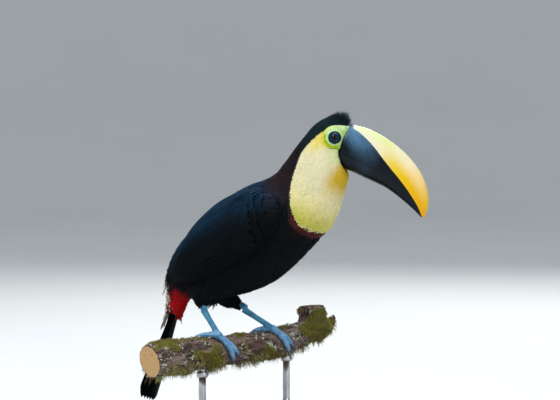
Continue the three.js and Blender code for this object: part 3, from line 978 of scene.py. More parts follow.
def markings(points):
    """The colour of the plumage at each place, on skin and feathers alike, with painted sky sheen on the
    upper back and wings and on the head's black.
    """
    along, angle = unwrap(points)
    turn = np.abs(angle) / DEGREES
    inside = bib_depth(points)
    colour = np.tile(BLACK, (len(points), 1))
    # The black of the upper back and the wings' tops is tinted navy: painted sheen of the sky.
    painted_sheen_above = bump_between(along, 0.22, 0.74, 0.08) * (1 - smoothstep(50, 88, turn))
    colour = blend(painted_sheen_above * 0.95, colour, SKY_SHEEN_NAVY)
    neck = bump_between(along, 0.70, 0.90, 0.09) * (1 - smoothstep(60, 100, turn))
    colour = blend(neck * 0.7, colour, MAROON)
    # The head above the bib is blue-grey: its black with painted sky reflection.
    colour = blend(smoothstep(0.88, 0.95, along), colour, CAP_BLACK_WITH_SHEEN)
    red = smoothstep(RED_BAND[0], RED_BAND[1], inside) * smoothstep(92, 118, turn)
    colour = blend(red, colour, BLOOD)
    bib = smoothstep(-0.002, 0.002, inside)
    high = smoothstep(0.70, 0.80, along + 0.05 * (1 - smoothstep(60, 115, turn)))
    yellow = blend(high, np.tile(OLIVE, (len(points), 1)), np.tile(STRAW, (len(points), 1)))
    yellow = blend(smoothstep(0.74, 0.86, along), yellow, CREAM)
    chin = smoothstep(0.80, 0.90, along) * smoothstep(114, 146, turn)
    yellow = blend(chin * 0.96, yellow, AMBER)
    behind_eye = smoothstep(0.90, 0.96, along) * (1 - smoothstep(52, 72, turn))
    yellow = blend(behind_eye, yellow, LEMON)
    border = (1 - smoothstep(0.001, 0.007, inside)) * smoothstep(70, 100, turn) * 0.4
    yellow = blend(border, yellow, WHITE)
    colour = blend(bib, colour, yellow)
    ahead, above, _ = head_places(points)
    gape = bump_between(ahead, 1, 16, 3) * bump_between(above, -26, -11, 4) * bib * 0.6
    colour = blend(gape, colour, PALE_LIME)
    behind_legs = 1 - smoothstep(RUMP_FRONT - 7 * MM, RUMP_FRONT, points[:, 0])
    tail_end = (1 - smoothstep(0.10, 0.15, along)) * behind_legs
    colour = blend(tail_end * smoothstep(80, 94, turn), colour, SCARLET)
    colour = blend(tail_end * (1 - smoothstep(62, 74, turn)), colour, WHITE)
    return colour


# ---------------------------------------------------------------- feathers

def vane_pattern(across, rows, tip_start, tip_fall, shaft=0.0):
    """One feather as a closed lens with a frayed tip: for each point, its place across (-1 to 1) and
    along (0 to 1) and its height, in shares of the thickness; and the triangles."""
    columns = len(across)
    points, top, bottom, faces = [], [], [], []
    for i, along in enumerate(np.linspace(0, 1, rows)):
        top_row, bottom_row = [], []
        for x in across:
            place = along * (tip_start - tip_fall * x * x * along)
            thick = 1 - x * x
            top_row.append(len(points))
            points.append((x, place, thick * 0.5 + (shaft if x == 0 else 0)))
            if abs(x) > 0.999:
                bottom_row.append(top_row[-1])
            else:
                bottom_row.append(len(points))
                points.append((x, place, -thick * 0.5))
        top.append(top_row)
        bottom.append(bottom_row)

    def quad(a, b, c, d):
        for corners in ((a, b, c), (a, c, d)):
            if len(set(corners)) == 3:
                faces.append(corners)

    for i in range(rows - 1):
        for j in range(columns - 1):
            quad(top[i][j], top[i][j + 1], top[i + 1][j + 1], top[i + 1][j])
            quad(bottom[i][j + 1], bottom[i][j], bottom[i + 1][j], bottom[i + 1][j + 1])
    for j in range(columns - 1):
        quad(top[0][j + 1], top[0][j], bottom[0][j], bottom[0][j + 1])
        x = (across[j] + across[j + 1]) / 2
        tip = len(points)
        points.append((x, 1 - 1.1 * tip_fall * x * x, 0.0))
        t, b = top[-1], bottom[-1]
        faces.append((t[j], t[j + 1], tip))
        faces.append((b[j + 1], b[j], tip))
        if t[j] != b[j]:
            faces.append((b[j], t[j], tip))
        if t[j + 1] != b[j + 1]:
            faces.append((t[j + 1], b[j + 1], tip))
    return np.array(points), np.array(faces), True


def lock_pattern(rows):
    """One narrow lock: a flat three-sided sliver that comes to a point, with flat shading."""
    points, faces = [], []
    for along in np.linspace(0, 0.86, rows):
        points += [(-1, along, -0.4), (0, along, 0.6), (1, along, -0.4)]
    for i in range(rows - 1):
        for j in range(3):
            a, b = 3 * i + j, 3 * i + (j + 1) % 3
            faces += [(a, b, b + 3), (a, b + 3, a + 3)]
    tip, last = len(points), 3 * (rows - 1)
    points.append((0, 1.0, 0.0))
    faces += [(last, last + 1, tip), (last + 1, last + 2, tip), (last + 2, last, tip), (0, 2, 1)]
    return np.array(points), np.array(faces), False


VANE_ACROSS = (-1, -0.8, -0.6, -0.4, -0.2, -0.06, 0, 0.06, 0.2, 0.4, 0.6, 0.8, 1)
LONG_VANE = vane_pattern(VANE_ACROSS, 20, 0.99, 0.1, 0.7)
LOCK = lock_pattern(3)
SHORT_LOCK = lock_pattern(2)
PATCH = 0.003  # how wide a feather's patch on the bake map is
MARCH_STEPS = 5  # from a feather's root to its tip


def scatter(piece_arrays, spacing_at, keep_at, random):
    """Feather roots over a mesh, in a random order thinned to their spacing, with surface normals."""
    points, _, faces = piece_arrays
    corners = points[faces]
    cross = np.cross(corners[:, 1] - corners[:, 0], corners[:, 2] - corners[:, 0])
    area = np.linalg.norm(cross, axis=1) / 2
    middles = corners.mean(axis=1)
    kept = keep_at(middles)
    spacing = spacing_at(middles)
    density = np.where(kept, area / spacing ** 2, 0)
    total = int(density.sum() * 5)
    chosen = random.choice(len(faces), total, p=density / density.sum())
    a, b = random.random((2, total, 1))
    flip = a + b > 1
    a, b = np.where(flip, 1 - a, a), np.where(flip, 1 - b, b)
    tri = corners[chosen]
    places = tri[:, 0] + a * (tri[:, 1] - tri[:, 0]) + b * (tri[:, 2] - tri[:, 0])
    normals = unit(cross[chosen])
    gaps = spacing_at(places)
    tree = KDTree(total)
    for i, place in enumerate(places):
        tree.insert(place, i)
    tree.balance()
    alive = np.ones(total, bool)
    roots = []
    for i in range(total):
        if alive[i]:
            roots.append(i)
            for _, other, _ in tree.find_range(places[i], gaps[i]):
                alive[other] = False
    roots = np.array(roots)
    return places[roots], normals[roots]


def march(tree, roots, ways, lengths, steps, end_way):
    """The path of each feather over the surface, from its root along the lie of the coat. Past the end
    of the surface it goes on in the end way, where one is given."""
    places, normals = nearest(tree, roots)
    lie = lie_of_coat(places, normals)
    side = np.cross(normals, lie)
    across, ahead = dots(ways, side)[:, None], dots(ways, lie)[:, None]
    path, path_normals = [places], [normals]
    for _ in range(steps):
        way = unit(lie * ahead + np.cross(normals, lie) * across)
        aim = places + way * (lengths / steps)[:, None]
        found, found_normals = nearest(tree, aim)
        next_lie = lie_of_coat(found, found_normals)
        if end_way is not None:
            off = (np.linalg.norm(found - aim, axis=1) > 0.6 * lengths / steps)[:, None]
            found = np.where(off, places + unit(way + 2 * end_way) * (lengths / steps)[:, None], found)
            next_lie = np.where(off, unit(end_way - normals * (normals @ end_way)[:, None]), next_lie)
            found_normals = np.where(off, normals, found_normals)
        places, normals, lie = found, found_normals, next_lie
        path.append(places)
        path_normals.append(normals)
    return np.stack(path, axis=1), np.stack(path_normals, axis=1)


def vanes(name, pattern, path, path_normals, width, thickness, lift, taper, hollow, tint, root_map,
          material, root_shade=0.62):
    """One mesh of feathers. Each follows its own path, standing off it by the lift; width, lift and
    hollow may differ between feathers, and taper gives the width's share along a feather."""
    template, triangles, smooth = pattern
    count, steps = path.shape[:2]
    x, along, height = template.T
    spot = along * (steps - 1)
    low = np.minimum(spot.astype(int), steps - 2)
    share = (spot - low)[None, :, None]
    middle = path[:, low] * (1 - share) + path[:, low + 1] * share
    normal = unit(path_normals[:, low] * (1 - share) + path_normals[:, low + 1] * share)
    runs = np.gradient(path, axis=1)
    run = unit(runs[:, low] * (1 - share) + runs[:, low + 1] * share)
    side = unit(np.cross(normal, run))
    half = width[:, None] / 2 * taper(along)[None]
    raised = lift(along[None], np.arange(count)[:, None]) + height[None] * thickness[:, None]
    raised = raised - hollow[:, None] * x[None] ** 2 * half
    points = middle + side * (x[None] * half)[..., None] + normal * raised[..., None]
    faces = triangles[None] + (np.arange(count) * len(template))[:, None, None]
    piece = mesh_piece(name, points.reshape(-1, 3), faces.reshape(-1, 3), [material], smooth)
    shade = root_shade + (1 - root_shade) * smoothstep(0.1, 0.75, along)
    colour = tint[:, None] * shade[None, :, None]
    paint(piece, "tint", colour.reshape(-1, 3))
    barbs = np.tile(np.stack([x / 2 + 0.5, along], axis=-1), (count, 1))
    add_map(piece, "barbs", barbs)
    patch = np.stack([x / 2, along - 0.5], axis=-1) * PATCH
    add_map(piece, "OFBake", (root_map[:, None] + patch[None]).reshape(-1, 2))
    return piece


def no_lift(along, i):
    """For feathers that lie on their paths."""
    return np.zeros(np.broadcast_shapes(along.shape, i.shape))


def coat_map(points):
    """Each root's place on the unwrap of the skin: round the spine and along it, with the thighs cut
    out and laid below, round and down each."""
    along, angle = unwrap(points)
    places = np.stack([0.5 + angle / (2 * math.pi) * 0.96, 0.30 + np.clip(along, -0.1, 1.25) * 0.55], axis=-1)
    for side, middle in (("right", 0.25), ("left", 0.75)):
        share, _, turn = place_on_thigh(points, side)
        on_leg = on_thigh(points, side) > 0.5
        down = 0.20 - np.clip(share - 0.4, 0, 1) * 0.2
        leg = np.stack([middle + turn / (2 * math.pi) * 0.46, down], axis=-1)
        places = np.where(on_leg[:, None], leg, places)
    return places


def plumage_finish(name, gloss, sheen_tint, sheen, barb_depth, mottle):
    """Soft feathers: the marking's colour, a silky sheen and fine barbs that slant from the shaft."""
    look = Finish(name, Roughness=0.6, Specular_IOR_Level=gloss, Sheen_Weight=sheen,
                  Sheen_Roughness=0.45, Sheen_Tint=sheen_tint)
    split = look.nodes.new("ShaderNodeSeparateXYZ")
    look.links.new(look.uv("barbs"), split.inputs[0])
    across = look.maths("ABSOLUTE", look.minus(split.outputs["X"], 0.5))
    slant = look.plus(look.times(split.outputs["Y"], 34), look.times(across, -16))
    stripes = look.maths("SINE", look.times(slant, 6.283))
    patches = look.noise(look.place(), 55, 4, 0.6)
    tone = look.remap(patches, 0.3, 0.7, 1 - mottle, 1 + mottle)
    shade = look.times(tone, look.remap(stripes, -1, 1, 0.95, 1.04))
    return look.surface(Base_Color=look.toned(look.colour("tint"), shade),
                        Normal=look.bump(stripes, barb_depth, 0.5))


black_finish = plumage_finish("plumage_black", 0.08, linear(120, 150, 190), 0.015, 0.05 * MM, 0.13)
bib_finish = plumage_finish("plumage_bib", 0.2, linear(255, 250, 225), 0.10, 0.04 * MM, 0.03)


def coat_piece(name, pattern, keep_at, spacing_at, length_at, width_at, lift_at, seed, locks, fan, yaw,
               material=black_finish, slot="plumage", thickness=0.1 * MM, hollow=0.35, tree=None,
               end_way=None, root_shade=0.62):
    """Feathers over one region of the skin, in one piece for each side of the bird. Each root carries a
    fan of several locks."""
    random = np.random.default_rng(SEED + seed)
    all_roots, all_normals = scatter(SKIN, spacing_at, keep_at, random)
    on_left = unwrap(all_roots)[1] > 0
    for side, chosen in (("right", ~on_left), ("left", on_left)):
        roots, normals = all_roots[chosen], all_normals[chosen]
        size = random.normal(1, 0.09, len(roots))
        tone = random.normal(1, 0.035, len(roots))
        roots, normals, size, tone = (np.repeat(a, locks, axis=0) for a in (roots, normals, size, tone))
        count = len(roots)
        spread = np.tile(np.linspace(-fan, fan, locks), count // locks)
        lengths = length_at(roots) * size * (1 - 0.22 * (np.abs(spread) / fan) ** 2)
        lengths = lengths * random.normal(1, 0.07, count)
        lie = lie_of_coat(roots, normals)
        ways = around(lie, np.cross(normals, lie), spread + random.normal(0, yaw, count))
        path, path_normals = march(tree or SKIN_TREE, roots, ways, lengths, MARCH_STEPS, end_way)
        rise = lift_at(roots) * random.normal(1, 0.14, count)
        tint = markings(roots) * tone[:, None] * random.normal(1, 0.03, (count, 1))

        def lift(along, i):
            return rise[i] * along ** 0.85 - 0.35 * MM * (1 - along)

        piece = vanes(name + "_" + side, pattern, path, path_normals, width_at(roots) * size,
                      np.full(count, thickness), lift,
                      lambda t: np.interp(t, [0, 0.12, 0.4, 0.8, 1], [0.3, 0.72, 1, 0.9, 0.45]),
                      np.full(count, hollow), np.clip(tint, 0, 1), coat_map(roots), material, root_shade)
        print(piece.name, count, "vanes", count * len(pattern[1]), "triangles")
        settle(piece, slot)


# ---------------------------------------------------------------- the coat, region by region

# The skin lies under the outline by the coat's depth, and a little deeper under the bare face.
depth = np.interp(unwrap(outline)[0], COAT_AT, COAT_DEPTH)
depth = depth + FACE_SINK * (1 - smoothstep(1.0, 1.15, bare_skin(outline)))
move_points(skin, outline - shell_normals * depth[:, None])
SKIN = mesh_arrays(skin)
SKIN_TREE = BVHTree.FromPolygons(SKIN[0].tolist(), SKIN[2].tolist())
# The skin takes the plumage's colours a tenth darker: painted shade under the feathers.
paint(skin, "tint", markings(SKIN[0]) * 0.9)


def skin_finish():
    look = Finish("skin", Roughness=0.85, Specular_IOR_Level=0.2)
    down = look.noise(look.place(), 700, 4, 0.7)
    shade = look.mix(1.0, look.colour("tint"), (0.8, 0.78, 0.74), "MULTIPLY")
    colour = look.mix(look.remap(down, 0.3, 0.8, 0.0, 0.8), look.colour("tint"), shade)
    return look.surface(Base_Color=colour, Normal=look.bump(down, 0.4 * MM, 0.8))


skin.data.materials.clear()
skin.data.materials.append(skin_finish())
face_material = face_finish()
joined(skin, *(face_disc(side, face_material) for side in SIDES))


def on_legs(points):
    return (on_thigh(points, "right") > 0.5) | (on_thigh(points, "left") > 0.5)


def under_bill(points):
    """Where the horn of the lower jaw lies over the cheek and the chin."""
    ahead, above, out = head_places(points)
    foot = np.interp(above, [-35, -29, -20, -13, 0], [16.0, 8.0, 10.0, 12.2, 17.0])
    return (ahead > foot) & (above > -36) & (out > 4)


def on_bib(points):
    return (bib_depth(points) > RED_BAND[0]) & (bare_skin(points) > 1.0) & ~under_bill(points)


def inside_bib(points):
    """0 at the bib's edge, where its feathers are short and lie close, rising to 1 further in."""
    return smoothstep(0, 0.025, bib_depth(points))


def bib_length(points):
    return by_place(6.5, 6.5, 6.5, 6.5, 6, 4.2)(points) * (0.55 + 0.45 * inside_bib(points))


def bib_rise(points):
    return rise_by_place(0.4)(points) * (0.4 + 0.6 * inside_bib(points))


def on_head(points):
    return (unwrap(points)[0] > 0.86) & (bib_depth(points) <= RED_BAND[0]) & (bare_skin(points) > 1.0)


def on_body(points):
    along = unwrap(points)[0]
    plain = (along <= 0.86) & (along > 0.13) & (bib_depth(points) <= RED_BAND[0])
    run, drop = place_on_wing(points)
    covered = quill_tips(np.clip((drop - 0.10) / 0.865, 0, 1)) - 0.06
    on_wing = (run > -0.04) & (run < covered) & (drop > 0.02) & (drop < 0.97)
    return plain & ~on_legs(points) & ~on_wing


def on_undertail(points):
    along, angle = unwrap(points)
    return (along <= 0.13) & (np.abs(angle) > 95 * DEGREES) & ~on_legs(points)


def on_uppertail(points):
    along, angle = unwrap(points)
    return (along <= 0.13) & (np.abs(angle) <= 95 * DEGREES) & ~on_legs(points)


def by_place(*values):
    """A size given in millimetres, which may change along the spine."""
    if len(values) == 1:
        return lambda points: np.full(len(points), values[0] * MM)
    return lambda points: np.interp(unwrap(points)[0], [0.0, 0.3, 0.6, 0.72, 0.86, 1.0], values) * MM


def rise_by_place(share):
    return lambda points: np.interp(unwrap(points)[0], COAT_AT, COAT_DEPTH) * share


def ruff_share(points):
    """0 where the cap lies close, rising to 2 over the foot of the bill, where it stands up in a ruff."""
    ahead, above, out = head_places(points)
    middle = 1 - 0.55 * smoothstep(3, 12, out)
    return smoothstep(-4, 12, ahead) * smoothstep(8, 15, above) * (1 + smoothstep(6, 17, ahead)) * middle


def cap_rise(points):
    return (1.3 + 3.6 * ruff_share(points)) * MM


def cap_length(points):
    return (5.0 + 2.3 * ruff_share(points)) * MM


# ---------------------------------------------------------------- wings

def wing_edges(side):
    """Where the folded wing lies on the unwrap: its upper and lower edge at steps along the spine."""
    along, angle = unwrap(points_of("wing_" + side))
    at = np.linspace(along.min(), along.max(), 24)
    reach = (at[1] - at[0]) * 1.5
    turns = [np.abs(angle[np.abs(along - a) < reach]) for a in at]
    upper = blurred(np.array([t.min() for t in turns]), 1.5, 0)
    lower = blurred(np.array([t.max() for t in turns]), 1.5, 0)
    return at, upper, lower


WINGS = {side: wing_edges(side) for side in SIDES}


def place_on_wing(points):
    """Each point's share of the wing's length, from the shoulder, and of its breadth, from the top."""
    along, angle = unwrap(points)
    at, upper, lower = WINGS["left"]
    run = (at[-1] - along) / (at[-1] - at[0])
    high, low = np.interp(along, at, upper), np.interp(along, at, lower)
    return run, (np.abs(angle) - high) / np.maximum(low - high, 0.05)


class Sheet:
    """A smooth patch of surface over the wing, sampled by shares of its length and breadth."""

    def __init__(self, side):
        at, upper, lower = WINGS[side]
        self.sign = 1 if side == "left" else -1
        self.runs, self.drops = np.linspace(-0.1, 1.06, 72), np.linspace(-0.15, 1.15, 48)
        run, drop = np.meshgrid(self.runs, self.drops, indexing="ij")
        along = at[-1] + (at[0] - at[-1]) * run
        turn = np.interp(along, at, upper) * (1 - drop) + np.interp(along, at, lower) * drop
        places = surface_at(OUTLINE, along, turn * self.sign)
        for axis in (0, 1):
            places = blurred(places, 2.4, axis)
        self.places = places
        cross = np.cross(np.gradient(places, axis=0), np.gradient(places, axis=1))
        self.normals = unit(cross) * self.sign

    def at(self, run, drop):
        i = np.clip((run - self.runs[0]) / (self.runs[1] - self.runs[0]), 0, len(self.runs) - 1.001)
        j = np.clip((drop - self.drops[0]) / (self.drops[1] - self.drops[0]), 0, len(self.drops) - 1.001)
        i0, j0 = i.astype(int), j.astype(int)
        a, b = (i - i0)[..., None], (j - j0)[..., None]

        def sample(grid):
            near = grid[i0, j0] * (1 - b) + grid[i0, j0 + 1] * b
            far = grid[i0 + 1, j0] * (1 - b) + grid[i0 + 1, j0 + 1] * b
            return near * (1 - a) + far * a

        return sample(self.places), unit(sample(self.normals))


# Each row of a folded wing: how many feathers, then for the first (upper) and the last (lower) one its
# root and tip as shares of the wing's length, its place across, its width and its depth under the top
WING_ROWS = {
    "quills": dict(count=18, root=(0.20, 0.24), tip=(0.66, 1.0), drop=(0.10, 0.965), width=(19, 12),
                   depth=(0.9, 2.8), sunk=0.32),
    "greater_coverts": dict(count=12, root=(0.14, 0.18), tip=(0.50, 0.40), drop=(0.08, 0.93),
                            width=(15, 11), depth=(0.6, 2.2), sunk=0.4),
    "median_coverts": dict(count=14, root=(0.10, 0.11), tip=(0.38, 0.30), drop=(0.06, 0.93),
                           width=(12, 9), depth=(0.35, 1.6), sunk=0.45),
}
ROOT_SINK = 2.2 * MM  # how deep a row's roots lie under the row before
QUILL_STEPS = 16


def quill_tips(share):
    """Where the quills end along the wing, at shares of the way across it from the upper one."""
    return 0.66 + 0.34 * share ** 1.35 - 0.10 * smoothstep(0.9, 1.0, share)


def quill_taper(along):
    return np.interp(along, [0, 0.08, 0.3, 0.6, 0.85, 0.95, 1], [0.3, 0.7, 0.95, 1, 0.9, 0.66, 0.3])


def wing_row(name, side, material, count, root, tip, drop, width, depth, sunk):
    """One row of overlapping feathers across the wing. The upper ones lie over the lower ones. Their
    roots are sunk, over a share of their length, under the tips of the row before."""
    random = np.random.default_rng(SEED + len(name))
    share = np.linspace(0, 1, count)
    ends = [np.interp(share, [0, 1], pair) + random.normal(0, 0.008, count) for pair in (root, tip)]
    if name == "quills":
        ends[1] = quill_tips(share)
    places_across = np.interp(share, [0, 1], drop)
    steps = np.linspace(0, 1, QUILL_STEPS)
    run = ends[0][:, None] + (ends[1] - ends[0])[:, None] * steps
    across = places_across[:, None] - 0.06 * (1 - steps) * (1 - share[:, None])
    path, normals = sheet[side].at(run, np.broadcast_to(across, run.shape))
    wide = np.interp(share, [0, 1], width) * MM * random.normal(1, 0.03, count)
    deep = np.interp(share, [0, 1], depth) * MM
    # The quills' black is a fifth darker than the body's, with a little random tone: painted shade that
    # offsets their broad reflections.
    tint = markings(path[:, QUILL_STEPS // 2]) * random.normal(0.8, 0.05, (count, 1))

    def lift(along, i):
        return -deep[i] - ROOT_SINK * (1 + (1 - share[i]) ** 3) * (1 - smoothstep(0, sunk, along))

    piece = vanes("wing_%s_%s" % (name, side), LONG_VANE, path, normals, wide, np.full(count, 0.26 * MM),
                  lift, quill_taper, np.full(count, 0.06), np.clip(tint, 0, 1), coat_map(path[:, 0]),
                  material, root_shade=0.9)
    return settle(piece, "plumage")


sheet = {side: Sheet(side) for side in SIDES}
quill_finish = plumage_finish("plumage_quills", 0.05, linear(110, 150, 205), 0.01, 0.06 * MM, 0.13)
for side in SIDES:
    for name, row in WING_ROWS.items():
        wing_row(name, side, quill_finish, **row)

# ---------------------------------------------------------------- tail

TAIL_TOP, TAIL_TIP = ends_of("tail")
TAIL_DOWN = unit(TAIL_TIP - TAIL_TOP)
TAIL_ASIDE = np.array([0.0, 1.0, 0.0])
TAIL_BACK = unit(np.cross(TAIL_DOWN, TAIL_ASIDE))
TAIL_HALF = (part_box("tail")[1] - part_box("tail")[0])[1] / 2
RECTRICES = 10
RECTRIX_WIDTH = 15 * MM
RECTRIX_GAP = 0.62 * MM  # from one feather to the next under it
RECTRIX_HIDDEN = 22 * MM  # of each feather, inside the rump


def tail_feathers(material):
    """Ten long feathers: the middle pair is uppermost, and the outer ones are a little shorter."""
    rank = np.arange(RECTRICES) - (RECTRICES - 1) / 2
    steps = np.linspace(0, 1, QUILL_STEPS)
    length = np.linalg.norm(TAIL_TIP - TAIL_TOP) + 2 * MM - np.abs(rank) * 0.9 * MM
    down = -RECTRIX_HIDDEN + (length + RECTRIX_HIDDEN)[:, None] * steps
    spread = (TAIL_HALF - RECTRIX_WIDTH * 0.42) / rank.max()
    aside = rank[:, None] * spread * (0.28 + 0.72 * smoothstep(-0.1, 1.05, down / length.max()))
    arch = -0.009 / MM * aside ** 2
    layer = 2.6 * MM - np.abs(rank)[:, None] * RECTRIX_GAP - np.sign(rank)[:, None] * 0.12 * MM
    path = (TAIL_TOP + down[..., None] * TAIL_DOWN + (arch + layer)[..., None] * TAIL_BACK
            + aside[..., None] * TAIL_ASIDE)
    lean = 0.018 / MM * aside
    normals = unit(TAIL_BACK + lean[..., None] * TAIL_ASIDE)
    tint = np.tile(BLACK, (RECTRICES, 1)) * np.linspace(0.95, 1.2, RECTRICES)[:, None]
    root_map = np.stack([0.5 + rank * 0.012, np.full(RECTRICES, 0.245)], axis=-1)
    piece = vanes("tail_quills", LONG_VANE, path, normals, np.full(RECTRICES, RECTRIX_WIDTH),
                  np.full(RECTRICES, 0.5 * MM), no_lift,
                  lambda t: np.interp(t, [0, 0.2, 0.7, 0.9, 0.97, 1], [0.25, 0.7, 1, 0.98, 0.8, 0.5]),
                  np.full(RECTRICES, 0.08), tint, root_map, material, root_shade=0.9)
    return settle(piece, "plumage", "tail")


tail_feathers(quill_finish)
tail_mesh = NODES["tail"].data
tail_points = [v.co.copy() for v in tail_mesh.vertices]
tail_faces = [[len(SKIN[0]) + i for i in face.vertices] for face in tail_mesh.polygons]
RUMP_TREE = BVHTree.FromPolygons(SKIN[0].tolist() + tail_points, SKIN[2].tolist() + tail_faces)

# ---------------------------------------------------------------- small feathers

def on_wing_front(points):
    run, drop = place_on_wing(points)
    on_front = (run > -0.06) & (run <= 0.27) & (drop > -0.02) & (drop < 1.0)
    return on_front & (bib_depth(points) <= RED_BAND[0])


def on_shoulder(points):
    """The feathers that hang from the back over the wing's upper edge."""
    run, drop = place_on_wing(points)
    return (run > 0.02) & (run < 0.62) & (drop > -0.12) & (drop < 0.14)


coat_piece("bib_feathers", SHORT_LOCK, on_bib, by_place(1.8, 1.8, 1.8, 1.55, 1.25, 1.05), bib_length,
           by_place(0.95, 0.95, 0.95, 0.9, 0.8, 0.66), bib_rise, seed=1, locks=6, fan=0.26, yaw=0.06,
           material=bib_finish, slot="bib", thickness=0.07 * MM, hollow=0.1, root_shade=0.97)
coat_piece("head_feathers", SHORT_LOCK, on_head, by_place(1.4, 1.4, 1.4, 1.4, 1.4, 1.1), cap_length,
           by_place(0.8, 0.8, 0.8, 0.8, 0.8, 0.6), cap_rise, seed=2, locks=4, fan=0.24, yaw=0.18)
coat_piece("body_feathers", LOCK, on_body, by_place(2.7, 2.7, 2.5, 2.2, 1.8, 1.6),
           by_place(13, 13, 11, 9.5, 7.5, 7), by_place(1.5, 1.5, 1.4, 1.2, 1.0, 1.0), rise_by_place(0.8),
           seed=3, locks=6, fan=0.28, yaw=0.07, thickness=0.12 * MM)
coat_piece("lesser_coverts", LOCK, on_wing_front, by_place(2.2), by_place(10, 10, 10, 9, 8, 8),
           by_place(1.4), rise_by_place(1.15), seed=7, locks=6, fan=0.26, yaw=0.05, root_shade=0.75)
coat_piece("shoulder_feathers", LOCK, on_shoulder, by_place(2.6), by_place(16, 16, 15, 13, 12, 12),
           by_place(1.7), rise_by_place(1.05), seed=8, locks=6, fan=0.2, yaw=0.05, root_shade=0.75)
coat_piece("undertail_coverts", LOCK, on_undertail, by_place(1.4), by_place(14, 14, 13, 13, 13, 13),
           by_place(1.3), rise_by_place(1.1), seed=4, locks=5, fan=0.16, yaw=0.1, thickness=0.16 * MM,
           tree=RUMP_TREE, end_way=TAIL_DOWN)
coat_piece("uppertail_coverts", LOCK, on_uppertail, by_place(1.7), by_place(20, 15, 15, 15, 15, 15),
           by_place(1.6), rise_by_place(1.0), seed=5, locks=5, fan=0.2, yaw=0.08, thickness=0.16 * MM,
           tree=RUMP_TREE, end_way=TAIL_DOWN)
coat_piece("thigh_feathers", LOCK, on_legs, by_place(1.25), by_place(10), by_place(1.2), rise_by_place(0.8),
           seed=6, locks=3, fan=0.3, yaw=0.16, thickness=0.16 * MM)

# ---------------------------------------------------------------- perch

PERCH_TREE = tree_of("perch")
RING_RAYS = full_turn(24)
PERCH_STEP = 6 * MM
CAD_PERCH_SIDES = 16
CAD_TWIG_SIDES = 10
TWIG_LENGTH = 27 * MM  # from inside the branch to the cut


def square_to(way):
    """Two directions square to a way and to each other, the first as near upright as can be."""
    up = unit(UP - way * UP.dot(way))
    return up, np.cross(way, up)


def ring_round(middle, way):
    """The middle and radius of the perch's bark round a point inside it. A twig's longer rays don't count."""
    hits = []
    for out in around(*square_to(way), RING_RAYS):
        hit, _, _, far = PERCH_TREE.ray_cast(Vector(middle), Vector(out))
        hits.append((far, hit))
    usual = np.median([far for far, _ in hits])
    kept = [np.array(hit) for far, hit in hits if far < usual * 1.25]
    found = np.mean(kept, axis=0)
    return found, np.mean([np.linalg.norm(hit - found) for hit in kept])


def perch_line():
    """The branch's middle line and its radii, by steps from its near end to its far end."""
    points = points_of("perch")
    main = np.linalg.svd(points - points.mean(axis=0), full_matrices=False)[2][0]
    main = main * np.sign(main[1])
    order = np.argsort(points @ main)
    near = points[order[:CAD_PERCH_SIDES]].mean(axis=0)
    far = points[order[-CAD_PERCH_SIDES:]].mean(axis=0)
    middles, radii, way = [near], [], main
    while (far - middles[-1]) @ way > PERCH_STEP * 1.5:
        found, radius = ring_round(middles[-1] + way * PERCH_STEP, way)
        way = unit(found - middles[-1])
        middles.append(found)
        radii.append(radius)
    middles.append(far)
    radii = [radii[0]] + radii + [radii[-1]]
    return blurred(np.array(middles), 1.0, 0), blurred(np.array(radii), 2.0, 0)


def twig_line():
    """The side twig's middle line, from inside the branch to its tip, and its radius."""
    points = points_of("perch")
    tip_ring = points[np.argsort(points[:, 2])[-CAD_TWIG_SIDES:]]
    tip = tip_ring.mean(axis=0)
    way = np.linalg.svd(tip_ring - tip)[2][2]
    way = way * np.sign(way[2])
    radius = np.linalg.norm(tip_ring - tip, axis=1).mean()
    share = np.linspace(0, 1, 5)
    middles = tip - way * TWIG_LENGTH * (1 - share)[:, None]
    return middles, radius * np.interp(share, [0, 0.5, 1], [1.45, 1.1, 0.97])


PERCH_MIDDLES, PERCH_RADII = perch_line()
PERCH_WAYS = unit(np.gradient(PERCH_MIDDLES, axis=0))
TWIG_MIDDLES, TWIG_RADII = twig_line()
TWIG_WAY = unit(TWIG_MIDDLES[-1] - TWIG_MIDDLES[0])
FOOT_TREE = tree_of("foot_right", "foot_left", *(name for name in NODES if name.startswith("claw_")))


def out_from_perch(points):
    """The nearest step of the perch's middle line to each point, and the way out from it there."""
    step = np.argmin(np.linalg.norm(points[:, None] - PERCH_MIDDLES[None], axis=2), axis=1)
    offset = points - PERCH_MIDDLES[step]
    way = PERCH_WAYS[step]
    return step, unit(offset - way * dots(offset, way)[:, None])


def clear_of_feet(points, near, far):
    """0 under the toes, rising to 1 away from them."""
    gaps = np.array([FOOT_TREE.find_nearest(Vector(p))[3] for p in points])
    return smoothstep(near, far, gaps)


def off_the_ends(points, gap):
    """0 on the sawn ends of branch and twig, rising to 1 at a gap inside them."""
    near = dots(points - PERCH_MIDDLES[0], PERCH_WAYS[0])
    far = dots(PERCH_MIDDLES[-1] - points, PERCH_WAYS[-1])
    top = dots(TWIG_MIDDLES[-1] - points, TWIG_WAY)
    return smoothstep(0.3 * MM, gap, np.minimum(np.minimum(near, far), top))


def moss_cover(points):
    """1 where moss lies in cushions, and 0 on bare bark, under the feet and at the sawn ends."""
    patches = smoothstep(0.0, 0.22, lumps(points + 5.0, 26 * MM, 4))
    return patches * clear_of_feet(points, 3.5 * MM, 7.5 * MM) * off_the_ends(points, 4 * MM)


def bark_height(points, stretched):
    """How far bark stands out from the CAD surface, in mm: ridges along the branch, plates and warts."""
    ridges = 1 - np.abs(lumps(stretched, 6 * MM, 4)) * 2.6
    plates = lumps(stretched + 1.0, 15 * MM)
    warts = np.maximum(lumps(points + 2.0, 8 * MM, 2) - 0.3, 0)
    grain = lumps(stretched, 1.7 * MM)
    return 0.75 * ridges + 0.6 * plates + 2.4 * warts + 0.3 * grain - 0.45


